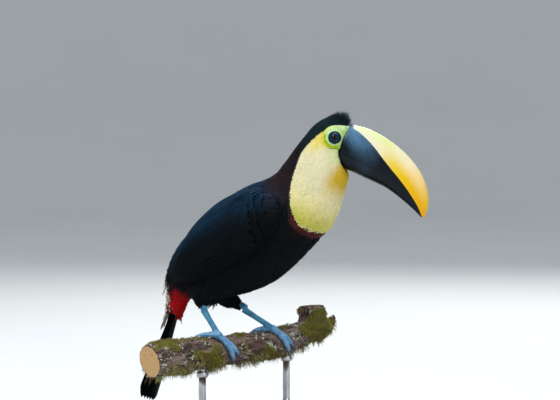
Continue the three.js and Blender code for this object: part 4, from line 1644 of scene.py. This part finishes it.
def branch(name, middles, radii, rings, sides, material):
    """A length of branch with cut ends. The attribute cut is 1 on the sawn wood."""
    at = np.linspace(0, 1, len(middles))
    share = np.linspace(0, 1, rings)
    line, radius = spline(at, middles, share), spline(at, radii, share)
    ways = unit(np.gradient(line, axis=0))
    turns = full_turn(sides)
    made = np.array([place + around(*square_to(way), turns) * r for place, way, r in zip(line, ways, radius)])
    length = run_along(middles)[-1]
    run = np.broadcast_to(share[:, None] * length * 0.22, (rings, sides))
    round_places = radius[:, None] * np.stack([np.cos(turns), np.sin(turns)])[..., None, :]
    stretched = np.stack([round_places[0], round_places[1], run], axis=-1).reshape(-1, 3)
    flat = made.reshape(-1, 3)
    height = bark_height(flat, stretched) * (0.12 + 0.88 * clear_of_feet(flat, 2.5 * MM, 9 * MM))
    moss = moss_cover(flat)
    height = (height + moss * (1.5 + 0.8 * lumps(flat, 5 * MM))).reshape(rings, sides)
    ends = np.minimum(share, 1 - share)[:, None] * length
    height = height - 0.7 * (1 - smoothstep(0, 1.5 * MM, ends))
    outward = unit(made - line[:, None])
    made = made + outward * (np.minimum(height, 3.2) * MM)[..., None]
    inward = np.array([0.02, 0.35, 0.62, 0.84, 0.94])
    near = [line[0] + (made[0] - line[0]) * k for k in inward]
    far = [line[-1] + (made[-1] - line[-1]) * k for k in inward[::-1]]
    points, faces = closed_loft(np.concatenate([near, made, far]))
    piece = mesh_piece(name, points, faces, [material])
    cut = np.concatenate([np.ones(len(inward)), np.zeros(rings), np.ones(len(inward))])
    keep_value(piece, "cut", np.append(np.repeat(cut, sides), [1, 1]))
    from_pith = np.concatenate([inward * radius[0], radius, inward[::-1] * radius[-1]]) / MM
    keep_value(piece, "from_pith", np.append(np.repeat(from_pith, sides), [0, 0]))
    depth = np.concatenate([np.zeros((len(inward), sides)), height, np.zeros((len(inward), sides))])
    keep_value(piece, "depth", np.append(depth.ravel(), [0, 0]))
    bare = np.zeros(len(inward) * sides)
    keep_value(piece, "moss", np.concatenate([bare, moss, bare, [0, 0]]))
    return piece


def bark_finish():
    """Weathered pinkish-grey bark with pale flecks, moss by the attribute, and rings on the sawn ends."""
    look = Finish("bark", Roughness=0.9, Specular_IOR_Level=0.2)
    broad = look.noise(look.place(), 45, 5, 0.6)
    fine = look.noise(look.place(), 420, 5, 0.65)
    flecks = look.cells(look.place(), 420)
    bark = look.mix(look.remap(broad, 0.35, 0.65), linear(98, 76, 66), linear(140, 122, 114))
    bark = look.mix(look.remap(fine, 0.4, 0.7, 0.0, 0.6), bark, linear(66, 48, 42))
    bark = look.mix(look.remap(look.value("depth"), -0.7, 0.5, 0.8, 0.0), bark, linear(36, 25, 20))
    spotted = look.remap(look.noise(look.place(), 60, 3, 0.6), 0.45, 0.6)
    spots = look.times(look.remap(flecks, 0.32, 0.2), spotted)
    bark = look.mix(look.times(spots, 0.75), bark, linear(188, 182, 170))
    crust = look.remap(look.noise(look.place(), 75, 5, 0.6, 0.5), 0.60, 0.65, 0.0, 0.8)
    bark = look.mix(crust, bark, linear(172, 178, 158))
    green = look.mix(fine, linear(52, 46, 16), linear(110, 104, 38))
    bark = look.mix(look.value("moss"), bark, green)
    from_pith = look.plus(look.value("from_pith"), look.times(broad, 2.0))
    rings = look.maths("SINE", look.times(from_pith, 5.2))
    wood = look.mix(look.remap(rings, -1, 1), linear(170, 134, 92), linear(200, 166, 120))
    wood = look.mix(look.remap(fine, 0.4, 0.75, 0.0, 0.5), wood, linear(128, 92, 58))
    cut = look.remap(look.value("cut"), 0.35, 0.65)
    rough = look.bump(look.mix(0.5, fine, flecks), 0.7 * MM, 0.9)
    return look.surface(Base_Color=look.mix(cut, bark, wood),
                        Normal=look.bump(rings, 0.05 * MM, 0.3, rough))


bark_material = bark_finish()
perch = branch("perch_bark", PERCH_MIDDLES, PERCH_RADII, 300, 150, bark_material)
perch = joined(perch, branch("twig_bark", TWIG_MIDDLES, TWIG_RADII, 60, 60, bark_material))
settle(perch, "bark", "perch")


def moss_finish():
    look = Finish("moss", Roughness=0.85, Specular_IOR_Level=0.15, Sheen_Weight=0.15)
    tone = look.remap(look.noise(look.place(), 300), 0.3, 0.7, 0.7, 1.2)
    fine = look.noise(look.place(), 1500, 2)
    return look.surface(Base_Color=look.toned(look.colour("tint"), tone), Normal=look.bump(fine, 0.1 * MM))


moss_material = moss_finish()
LOBE = vane_pattern((-1, -0.5, 0, 0.5, 1), 3, 0.82, 0.2)
BLADE_STEPS = 6


def perch_growth(name, pattern, spacing, keep_at, count_each, length, width, stand, droop, colours, seed):
    """Small blades or lobes in clumps on the bark. Stand is how upright they start, and droop how far
    they bend down."""
    random = np.random.default_rng(SEED + seed)
    roots, normals = scatter(mesh_arrays(perch), lambda p: np.full(len(p), spacing), keep_at, random)
    lean, size = random.normal(0, 1, (len(roots), 3)), random.uniform(0.4, 1.5, len(roots))
    roots, normals, lean, size = (np.repeat(a, count_each, axis=0) for a in (roots, normals, lean, size))
    count = len(roots)
    aside = lean + random.normal(0, 0.55, (count, 3))
    aside = unit(aside - normals * dots(aside, normals)[:, None])
    way = unit(normals * stand + aside)
    steps = np.linspace(0, 1, BLADE_STEPS)[:, None]
    reach = (length * size * random.uniform(0.7, 1.15, count))[:, None, None] * steps
    fall = -UP * droop * length * size[:, None, None] * steps ** 2
    path = roots[:, None] - normals[:, None] * 0.3 * MM + way[:, None] * reach + fall
    side = unit(np.cross(way, normals))
    path_normals = np.repeat(unit(np.cross(side, way))[:, None], BLADE_STEPS, axis=1)
    pick = random.random((count, 1)) ** 0.8
    tint = (colours[0] * (1 - pick) + colours[1] * pick) * random.normal(1, 0.12, (count, 1))
    dry = smoothstep(0.05, 0.3, lumps(roots + 3.0, 9 * MM)) * 0.75
    tint = blend(dry, tint, colours[2] * random.normal(1, 0.15, (count, 1)))
    step, out = out_from_perch(roots)
    turn = np.arctan2(out[:, 0], out[:, 2]) / (2 * math.pi)
    root_map = np.stack([0.5 + turn * 0.9, 0.05 + step / len(PERCH_MIDDLES) * 0.9], axis=-1)
    piece = vanes(name, pattern, path, path_normals, np.full(count, width), np.full(count, 0.1 * MM),
                  no_lift, lambda t: np.interp(t, [0, 0.3, 0.7, 1], [0.7, 1, 0.9, 0.5]),
                  np.zeros(count), np.clip(tint, 0, 1), root_map, moss_material, root_shade=0.55)
    print(name, count, "blades", count * len(pattern[1]), "triangles")
    return settle(piece, "bark")


def mossy_half(way):
    """Where moss grows on one half of the branch's length."""
    half = len(PERCH_MIDDLES) / 2
    return lambda points: (moss_cover(points) > 0.4) & ((out_from_perch(points)[0] - half) * way > 0)


def shaggy(points):
    """Patches on the underside, where long strands hang."""
    under = out_from_perch(points)[1][:, 2] < -0.25
    kept = (clear_of_feet(points, 6 * MM, 7 * MM) > 0.5) & (off_the_ends(points, 5 * MM) > 0.5)
    return under & (lumps(points + 7.0, 12 * MM) > 0.12) & kept


def crusted(points):
    """Patches of leafy lichen on bare bark."""
    open_bark = (moss_cover(points) < 0.3) & (clear_of_feet(points, 4 * MM, 5 * MM) > 0.5)
    return open_bark & (lumps(points + 9.0, 18 * MM) > 0.2) & (off_the_ends(points, 3 * MM) > 0.5)


# Each growth's dark, light and dry colour
MOSS = (linear(70, 58, 22), linear(160, 160, 62), linear(112, 88, 54))
STRANDS = (linear(104, 92, 46), linear(178, 180, 104), linear(128, 102, 66))
LICHEN = (linear(150, 158, 140), linear(208, 212, 196), linear(176, 172, 150))
for name, way, seed in (("perch_moss_near", -1, 21), ("perch_moss_far", 1, 24)):
    perch_growth(name, SHORT_LOCK, 0.84 * MM, mossy_half(way), 3, length=2.1 * MM, width=0.42 * MM,
                 stand=0.9, droop=0.1, colours=MOSS, seed=seed)
perch_growth("perch_strands", LOCK, 1.9 * MM, shaggy, 6, length=4.8 * MM, width=0.3 * MM,
             stand=0.45, droop=0.8, colours=STRANDS, seed=22)
perch_growth("perch_lichen", LOBE, 2.6 * MM, crusted, 5, length=2.3 * MM, width=2.0 * MM,
             stand=0.22, droop=0.0, colours=LICHEN, seed=23)

# ---------------------------------------------------------------- legs, toes and claws

LEG_VOXEL = 0.42 * MM
LEG_SWELL = 0.2 * MM
TOE_RADIUS = 3.0 * MM
TOES = ("inner_front", "outer_front", "outer_back", "inner_back")
SCUTE = 2.3  # mm from one horny plate to the next along a toe
LEG_SCUTE = 3.6  # and along the bare leg
PAD = 6.5  # mm from one soft pad to the next under a toe
AXIS_STEPS = 24
TOE_THINNING = 0.45  # mm that a toe is slimmer than in the CAD, but for its sole
CLAW_RADIUS = 2.05 * MM  # at the claw's foot
CLAW_BULGE = 1.5 * MM  # how far its middle bends out
CLAW_IN_TOE = 1.4 * MM
CLAW_STEPS = 18


def toe_axis(side, toe, hub):
    """The middle line of one toe over the perch, from the hub to the foot of its claw."""
    base = seam_centre("claw_%s_%s" % (side, toe), "foot_" + side)
    tree = tree_of("foot_" + side)
    points = hub + (base - hub) * np.linspace(0, 1, AXIS_STEPS)[:, None]
    step, out = out_from_perch(points)
    placed = []
    for point, middle, way in zip(points, PERCH_MIDDLES[step], out):
        foot = middle + way * np.dot(point - middle, way)
        hit, _, _, _ = tree.ray_cast(Vector(foot + way * 30 * MM), Vector(-way))
        placed.append(np.array(hit) - way * TOE_RADIUS if hit else point)
    placed[0] = hub
    placed[-1] = base
    return blurred(np.array(placed), 1.2, 0)


def leg_axes(side):
    """Middle lines of the bare leg and of the four toes."""
    ankle, foot = ends_of("shank_" + side, 2 * MM)
    hub = foot + unit(foot - ankle) * 2 * MM
    tarsus = ankle + (hub - ankle) * np.linspace(0, 1, AXIS_STEPS)[:, None]
    return [tarsus] + [toe_axis(side, toe, hub) for toe in TOES]


# The bare joint at the leg's top: places up into the thigh from the shank's end, and radii, in mm
KNOB = [(-3.9, 0.8), (-3.4, 2.0), (-2.2, 3.3), (-0.8, 4.0), (0.8, 4.2), (2.8, 4.1), (5.2, 3.8), (9.0, 3.0),
        (13.0, 2.0)]


def ankle_knob(side):
    ankle, _ = ends_of("shank_" + side, 2 * MM)
    into_thigh = unit(centre("thigh_" + side) - ankle)
    outs = around(*square_to(into_thigh), full_turn(24))
    points, faces = closed_loft(np.array([ankle + (into_thigh * up + outs * r) * MM for up, r in KNOB]))
    return mesh_piece("knob_" + side, points, faces[:, ::-1], [])


def bare_leg(side, material):
    """The scaled leg and foot: one skin over the CAD's leg and foot, with plates pressed into it."""
    nodes = ("shank_" + side, "foot_" + side)
    knob = ankle_knob(side)
    meshes = [NODES[node].data for node in nodes] + [knob.data]
    piece = fused("leg_" + side, meshes, LEG_VOXEL, LEG_SWELL, 6)
    bpy.data.objects.remove(knob)
    points, normals, _ = mesh_arrays(piece)
    points = points - normals * LEG_SWELL * 0.6
    axes = leg_axes(side)
    gaps, alongs = [], []
    for axis in axes:
        run = run_along(axis) / MM
        fine = np.linspace(0, run[-1], 200)
        line = np.stack([np.interp(fine, run, axis[:, k]) for k in range(3)], axis=-1)
        far = np.linalg.norm(points[:, None] - line[None], axis=2)
        gaps.append(far.min(axis=1))
        alongs.append(fine[far.argmin(axis=1)])
    gaps, alongs = np.array(gaps), np.array(alongs)
    gaps[0] += 0.4 * MM  # at the hub, toes win over the leg
    which = gaps.argmin(axis=0)
    along = alongs[which, np.arange(len(points))]
    on_toe = which > 0
    _, out = out_from_perch(points)
    leg_way = unit(axes[0][-1] - axes[0][0])
    leg_front = unit(HEAD_FORWARD - leg_way * HEAD_FORWARD.dot(leg_way))
    upper = np.where(on_toe, dots(normals, out), normals @ leg_front)
    pitch = np.where(on_toe, SCUTE, LEG_SCUTE)
    phase = np.abs((along / pitch) % 1 - 0.5) * 2
    plates = smoothstep(0.0, 0.3, upper)
    groove = smoothstep(0.68, 0.97, phase)
    pads = (1 - smoothstep(-0.5, -0.1, upper)) * on_toe
    height = plates * (0.12 - 0.36 * groove)
    height += pads * 0.22 * np.sin(2 * math.pi * along / PAD)
    height += (1 - plates) * 0.14 * lumps(points, 1.1 * MM, 2)
    height -= TOE_THINNING * on_toe * smoothstep(1, 9, along) * smoothstep(-0.7, -0.1, upper)
    move_points(piece, points + normals * (height * MM)[:, None])
    keep_value(piece, "along", along / pitch)
    keep_value(piece, "plates", plates)
    past_leg = np.where(on_toe, along, along - run_along(axes[0])[-1] / MM)
    keep_value(piece, "toe", smoothstep(-6, 8, past_leg))
    piece.data.materials.clear()
    piece.data.materials.append(material)
    return settle(piece, "legs", *nodes)


def leg_finish():
    """Sky-blue horny skin: plates before, fine grains behind, darker in the grooves and between the grains.
    """
    look = Finish("leg_skin", Roughness=0.5, Specular_IOR_Level=0.4, Subsurface_Weight=0.08,
                  Subsurface_Radius=(0.001, 0.001, 0.0015))
    along = look.value("along")
    phase = look.times(look.maths("ABSOLUTE", look.minus(look.maths("FRACT", along), 0.5)), 2)
    groove = look.times(look.remap(phase, 0.78, 0.98), look.value("plates"))
    grains = look.cells(look.place(), 1300)
    grain_lines = look.times(look.remap(grains, 0.3, 0.75, 0.0, 0.6), look.minus(1.0, look.value("plates")))
    cloud = look.noise(look.place(), 160, 4, 0.6)
    leg = look.mix(look.remap(cloud, 0.3, 0.7), linear(38, 114, 152), linear(72, 148, 178))
    toe = look.mix(look.remap(cloud, 0.3, 0.7), linear(74, 130, 174), linear(122, 166, 200))
    colour = look.mix(look.value("toe"), leg, toe)
    groove_darkening = look.maths("MAXIMUM", look.times(groove, 0.6), grain_lines)
    colour = look.mix(groove_darkening, colour, linear(44, 66, 98))
    wear = look.noise(look.place(), 900, 3, 0.6)
    colour = look.mix(look.remap(wear, 0.6, 0.78, 0.0, 0.3), colour, linear(160, 192, 208))
    sunk = look.plus(groove, look.times(grain_lines, 0.8))
    height = look.minus(look.remap(wear, 0.2, 0.8, 0.0, 0.25), sunk)
    return look.surface(Base_Color=colour, Roughness=look.remap(wear, 0.3, 0.7, 0.4, 0.6),
                        Normal=look.bump(height, 0.18 * MM, 0.9))


def claw(side, toe, material):
    """A curved claw, deeper than wide, from inside the toe's end to a fine tip."""
    node = "claw_%s_%s" % (side, toe)
    base = seam_centre(node, "foot_" + side)
    points = points_of(node)
    tip = points[np.argmax(np.linalg.norm(points - base, axis=1))]
    tip_near = points[np.linalg.norm(points - tip, axis=1) < 1.1 * MM].mean(axis=0)
    _, out = out_from_perch(((base + tip_near) / 2)[None])
    bulge = (base + tip_near) / 2 + out[0] * CLAW_BULGE
    start = base - unit(bulge - base) * CLAW_IN_TOE
    share = np.linspace(0, 1, CLAW_STEPS)[:, None]
    line = start * (1 - share) ** 2 + bulge * 2 * share * (1 - share) + tip_near * share ** 2
    ways = unit(np.gradient(line, axis=0))
    turns = full_turn(20)
    rings = []
    for i, way in enumerate(ways):
        deep = unit(out[0] - way * out[0].dot(way))
        wide = np.cross(way, deep)
        radius = CLAW_RADIUS * (1 - share[i, 0] ** 1.5 * 0.93)
        flat = np.where(np.cos(turns) < 0, 0.82, 1.0)  # the underside is flatter
        rings.append(line[i] + deep * (np.cos(turns) * flat * radius)[:, None]
                     + wide * (np.sin(turns) * radius * 0.72)[:, None])
    made, faces = closed_loft(np.array(rings))
    piece = mesh_piece(node + "_horn", made, faces, [material])
    keep_value(piece, "along", np.append(np.repeat(share[:, 0], len(turns)), [0, 1]))
    return settle(piece, "claw", node)


def claw_finish():
    look = Finish("claw_horn", Roughness=0.32, Specular_IOR_Level=0.5)
    along = look.value("along")
    streaks = look.noise(look.place(), 900, 4, 0.6)
    dark = look.mix(streaks, linear(22, 28, 38), linear(52, 66, 86))
    colour = look.mix(look.remap(along, 0.1, 0.75, 0.9, 0.0), dark, linear(72, 108, 150))
    return look.surface(Base_Color=colour, Roughness=look.remap(streaks, 0.3, 0.7, 0.25, 0.45),
                        Normal=look.bump(streaks, 0.06 * MM, 0.6))


leg_material = leg_finish()
claw_material = claw_finish()
for side in SIDES:
    bare_leg(side, leg_material)
    for toe in TOES:
        claw(side, toe, claw_material)

# ---------------------------------------------------------------- display stand

# The base's section: shares of its radius and of its height
BASE_PROFILE = [(0.0, 0.02), (0.9, 0.02), (0.955, 0.0), (0.968, 0.0), (0.972, 0.10), (0.985, 0.16),
                (0.997, 0.24), (1.0, 0.36), (0.997, 0.48), (0.985, 0.56), (0.965, 0.60), (0.955, 0.66),
                (0.95, 0.76), (0.942, 0.87), (0.925, 0.96), (0.90, 0.995), (0.86, 1.0), (0.5, 1.0),
                (0.02, 1.0)]


def turned_base():
    """A turned wooden disc with a rounded top edge, a cove and a plain foot."""
    low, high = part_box("stand_base")
    size = np.array([(high[0] - low[0]) / 2, high[2] - low[2]])
    knots = np.arange(len(BASE_PROFILE))
    dense = spline(knots, BASE_PROFILE, np.linspace(0, knots[-1], 110))
    points, faces = closed_loft(turned_rings(np.clip(dense[1:], [0.012, 0], [np.inf, 1]) * size, 180))
    look = Finish("walnut", Roughness=0.35, Coat_Weight=0.35, Coat_Roughness=0.18)
    grain = look.noise(look.place((3.2, 30, 30)), 4.5, 6, 0.62, 0.6)
    pores = look.noise(look.place((30, 420, 420)), 2.2, 3, 0.6)
    rings_of_wood = look.maths("SINE", look.times(grain, 34))
    colour = look.mix(look.remap(rings_of_wood, -1, 1), linear(58, 34, 20), linear(104, 66, 40))
    colour = look.mix(look.remap(pores, 0.55, 0.7, 0.0, 0.7), colour, linear(34, 20, 12))
    material = look.surface(Base_Color=colour, Roughness=look.remap(pores, 0.4, 0.7, 0.3, 0.5),
                            Normal=look.bump(pores, 0.12 * MM, 0.5))
    return settle(mesh_piece("stand_base_wood", points, faces, [material]), "base", "stand_base")


def steel_finish():
    look = Finish("brushed_steel", Metallic=1.0, Roughness=0.32)
    brushed = look.noise(look.place((1, 1, 0.02)), 2600, 3, 0.6)
    smears = look.noise(look.place(), 60)
    colour = look.mix(look.remap(smears, 0.3, 0.7), linear(168, 170, 174), linear(196, 198, 200))
    return look.surface(Base_Color=colour, Roughness=look.remap(brushed, 0.3, 0.7, 0.24, 0.42),
                        Normal=look.bump(brushed, 0.03 * MM, 0.5))


# The rod's section: shares of its radius, and mm from a mark, which is the wood's top for the ferrule and
# the collar's foot for the collar
FERRULE = [(0.3, -2), (2.3, -2), (2.3, 0.4), (2.2, 0.9), (1.5, 3.4), (1.35, 3.8), (1.0, 4)]
COLLAR = [(1.0, -0.2), (1.45, 0), (1.55, 0.4), (1.55, 5.6), (1.45, 6), (1.0, 6.2)]
RINGS_EACH = 4  # along each straight part of the section
COLLAR_DROP = 9 * MM  # from the branch's underside to the collar's foot
ROD_IN_BRANCH = 2 * MM
# The screw's section: shares of the rod's radius out from the collar, and radii in mm
SCREW = [(0.0, 1.1), (0.62, 1.1), (0.7, 0.95), (0.7, 0.6), (0.45, 0.55), (0.45, 0.1)]


def stand_rod(name, material):
    """A steel rod with a ferrule on the wood, a collar under the branch and a small screw in the collar."""
    low, high = (np.array(corner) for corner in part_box(name))
    middle, radius = (low + high)[:2] / 2, (high - low)[0] / 2
    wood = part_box("stand_base")[1][2]
    _, _, _, far = PERCH_TREE.ray_cast(Vector((*middle, wood)), Vector(UP))
    collar = wood + far - COLLAR_DROP
    top = wood + far + ROD_IN_BRANCH
    profile = np.array([(r, wood + z * MM) for r, z in FERRULE] + [(r, collar + z * MM) for r, z in COLLAR]
                       + [(1.0, top), (0.3, top)])
    knots = np.arange(len(profile))
    places = np.arange(0, knots[-1], 1 / RINGS_EACH)
    dense = np.stack([np.interp(places, knots, column) for column in profile.T * [[radius], [1]]], axis=-1)
    rod = mesh_piece(name + "_steel", *closed_loft(turned_rings(dense, 64, middle)), [material])
    across = around(np.array([0.0, 1.0, 0.0]), UP, full_turn(24))
    hub = np.array([middle[0] + 1.2 * radius, middle[1], collar + 3 * MM])
    rings = np.array([hub + [reach * radius, 0, 0] + across * r * MM for reach, r in SCREW])
    screw = mesh_piece("screw", *closed_loft(rings), [material])
    return settle(joined(rod, screw), "rod", name)


turned_base()
steel_material = steel_finish()
for name in ("stand_rod_near", "stand_rod_far"):
    stand_rod(name, steel_material)

# ---------------------------------------------------------------- camera, lights and floor

CAMERA_AZIMUTH = math.radians(25)
CAMERA_ELEVATION = math.radians(2)
CAMERA_DISTANCE = 3.0
CAMERA_TARGET = (38.5 * MM, 254 * MM)  # to the right of the base's middle, and above the ground
FRAME_WIDTH = 0.616
SENSOR_WIDTH = 36.0
LIGHT_TARGET = Vector((0.03, 0, 0.24))
SKY_COLOUR = (0.86, 0.93, 1.0)
SKY_STRENGTH = 0.56


def add_camera():
    rightward = np.array([math.cos(CAMERA_AZIMUTH), math.sin(CAMERA_AZIMUTH), 0])
    level = np.array([-math.sin(CAMERA_AZIMUTH), math.cos(CAMERA_AZIMUTH), 0])
    forward = level * math.cos(CAMERA_ELEVATION) - UP * math.sin(CAMERA_ELEVATION)
    target = rightward * CAMERA_TARGET[0] + UP * CAMERA_TARGET[1]
    data = bpy.data.cameras.new("camera")
    data.sensor_width = SENSOR_WIDTH
    data.lens = SENSOR_WIDTH * CAMERA_DISTANCE / FRAME_WIDTH
    data.clip_start = 0.05
    camera = bpy.data.objects.new("camera", data)
    camera.location = target - forward * CAMERA_DISTANCE
    camera.rotation_euler = Vector(forward).to_track_quat("-Z", "Y").to_euler()
    bpy.context.scene.collection.objects.link(camera)
    bpy.context.scene.camera = camera


def add_light(name, place, size, power, colour):
    data = bpy.data.lights.new(name, "AREA")
    data.shape = "DISK"
    data.size = size
    data.energy = power
    data.color = colour
    light = bpy.data.objects.new(name, data)
    light.location = place
    aim = LIGHT_TARGET - Vector(place)
    light.rotation_euler = aim.to_track_quat("-Z", "Y").to_euler()
    bpy.context.scene.collection.objects.link(light)


def add_floor():
    """A pale disc whose rim curves up out of sight all round, so that no edge shows in any view."""
    look = Finish("floor", Roughness=0.9, Specular_IOR_Level=0.1)
    dust = look.noise(look.place(), 3)
    colour = look.mix(dust, (0.62, 0.63, 0.63), (0.67, 0.675, 0.675))
    profile = [(0.3, 0), (1.2, 0), (3.2, 0), (4.6, 0.05), (5.6, 0.35), (6.2, 1.1), (6.4, 2.2), (6.4, 4.5)]
    sides = 96
    points = np.concatenate([turned_rings(profile, sides).reshape(-1, 3), [[0, 0, 0]]])
    ring = np.arange(sides)
    middle = np.stack([np.full(sides, len(points) - 1), ring, (ring + 1) % sides], axis=-1)
    walls = loft_walls(len(profile), sides)[:, ::-1]
    floor = mesh_piece("floor", points, np.concatenate([walls, middle]), [look.surface(Base_Color=colour)])


def add_world():
    world = bpy.data.worlds.new("studio")
    world.use_nodes = True
    sky = world.node_tree.nodes["Background"]
    sky.inputs["Color"].default_value = (*SKY_COLOUR, 1)
    sky.inputs["Strength"].default_value = SKY_STRENGTH
    bpy.context.scene.world = world
    # Colours are shown as they are, with no film curve over them
    bpy.context.scene.view_settings.view_transform = "Standard"


add_camera()
add_light("key", (-0.9, -1.9, 2.3), 1.5, 62, (1.0, 0.985, 0.96))
add_light("sky", (0.2, 0.3, 2.6), 2.4, 42, SKY_COLOUR)
add_light("fill", (2.2, -1.0, 1.0), 1.6, 20, (0.95, 0.97, 1.0))
add_light("rim", (-0.4, 2.2, 1.6), 1.2, 25, (1.0, 0.99, 0.97))
add_floor()
add_world()


# ---------------------------------------------------------------- the last lines

settle(skin, "plumage", *FLESH)
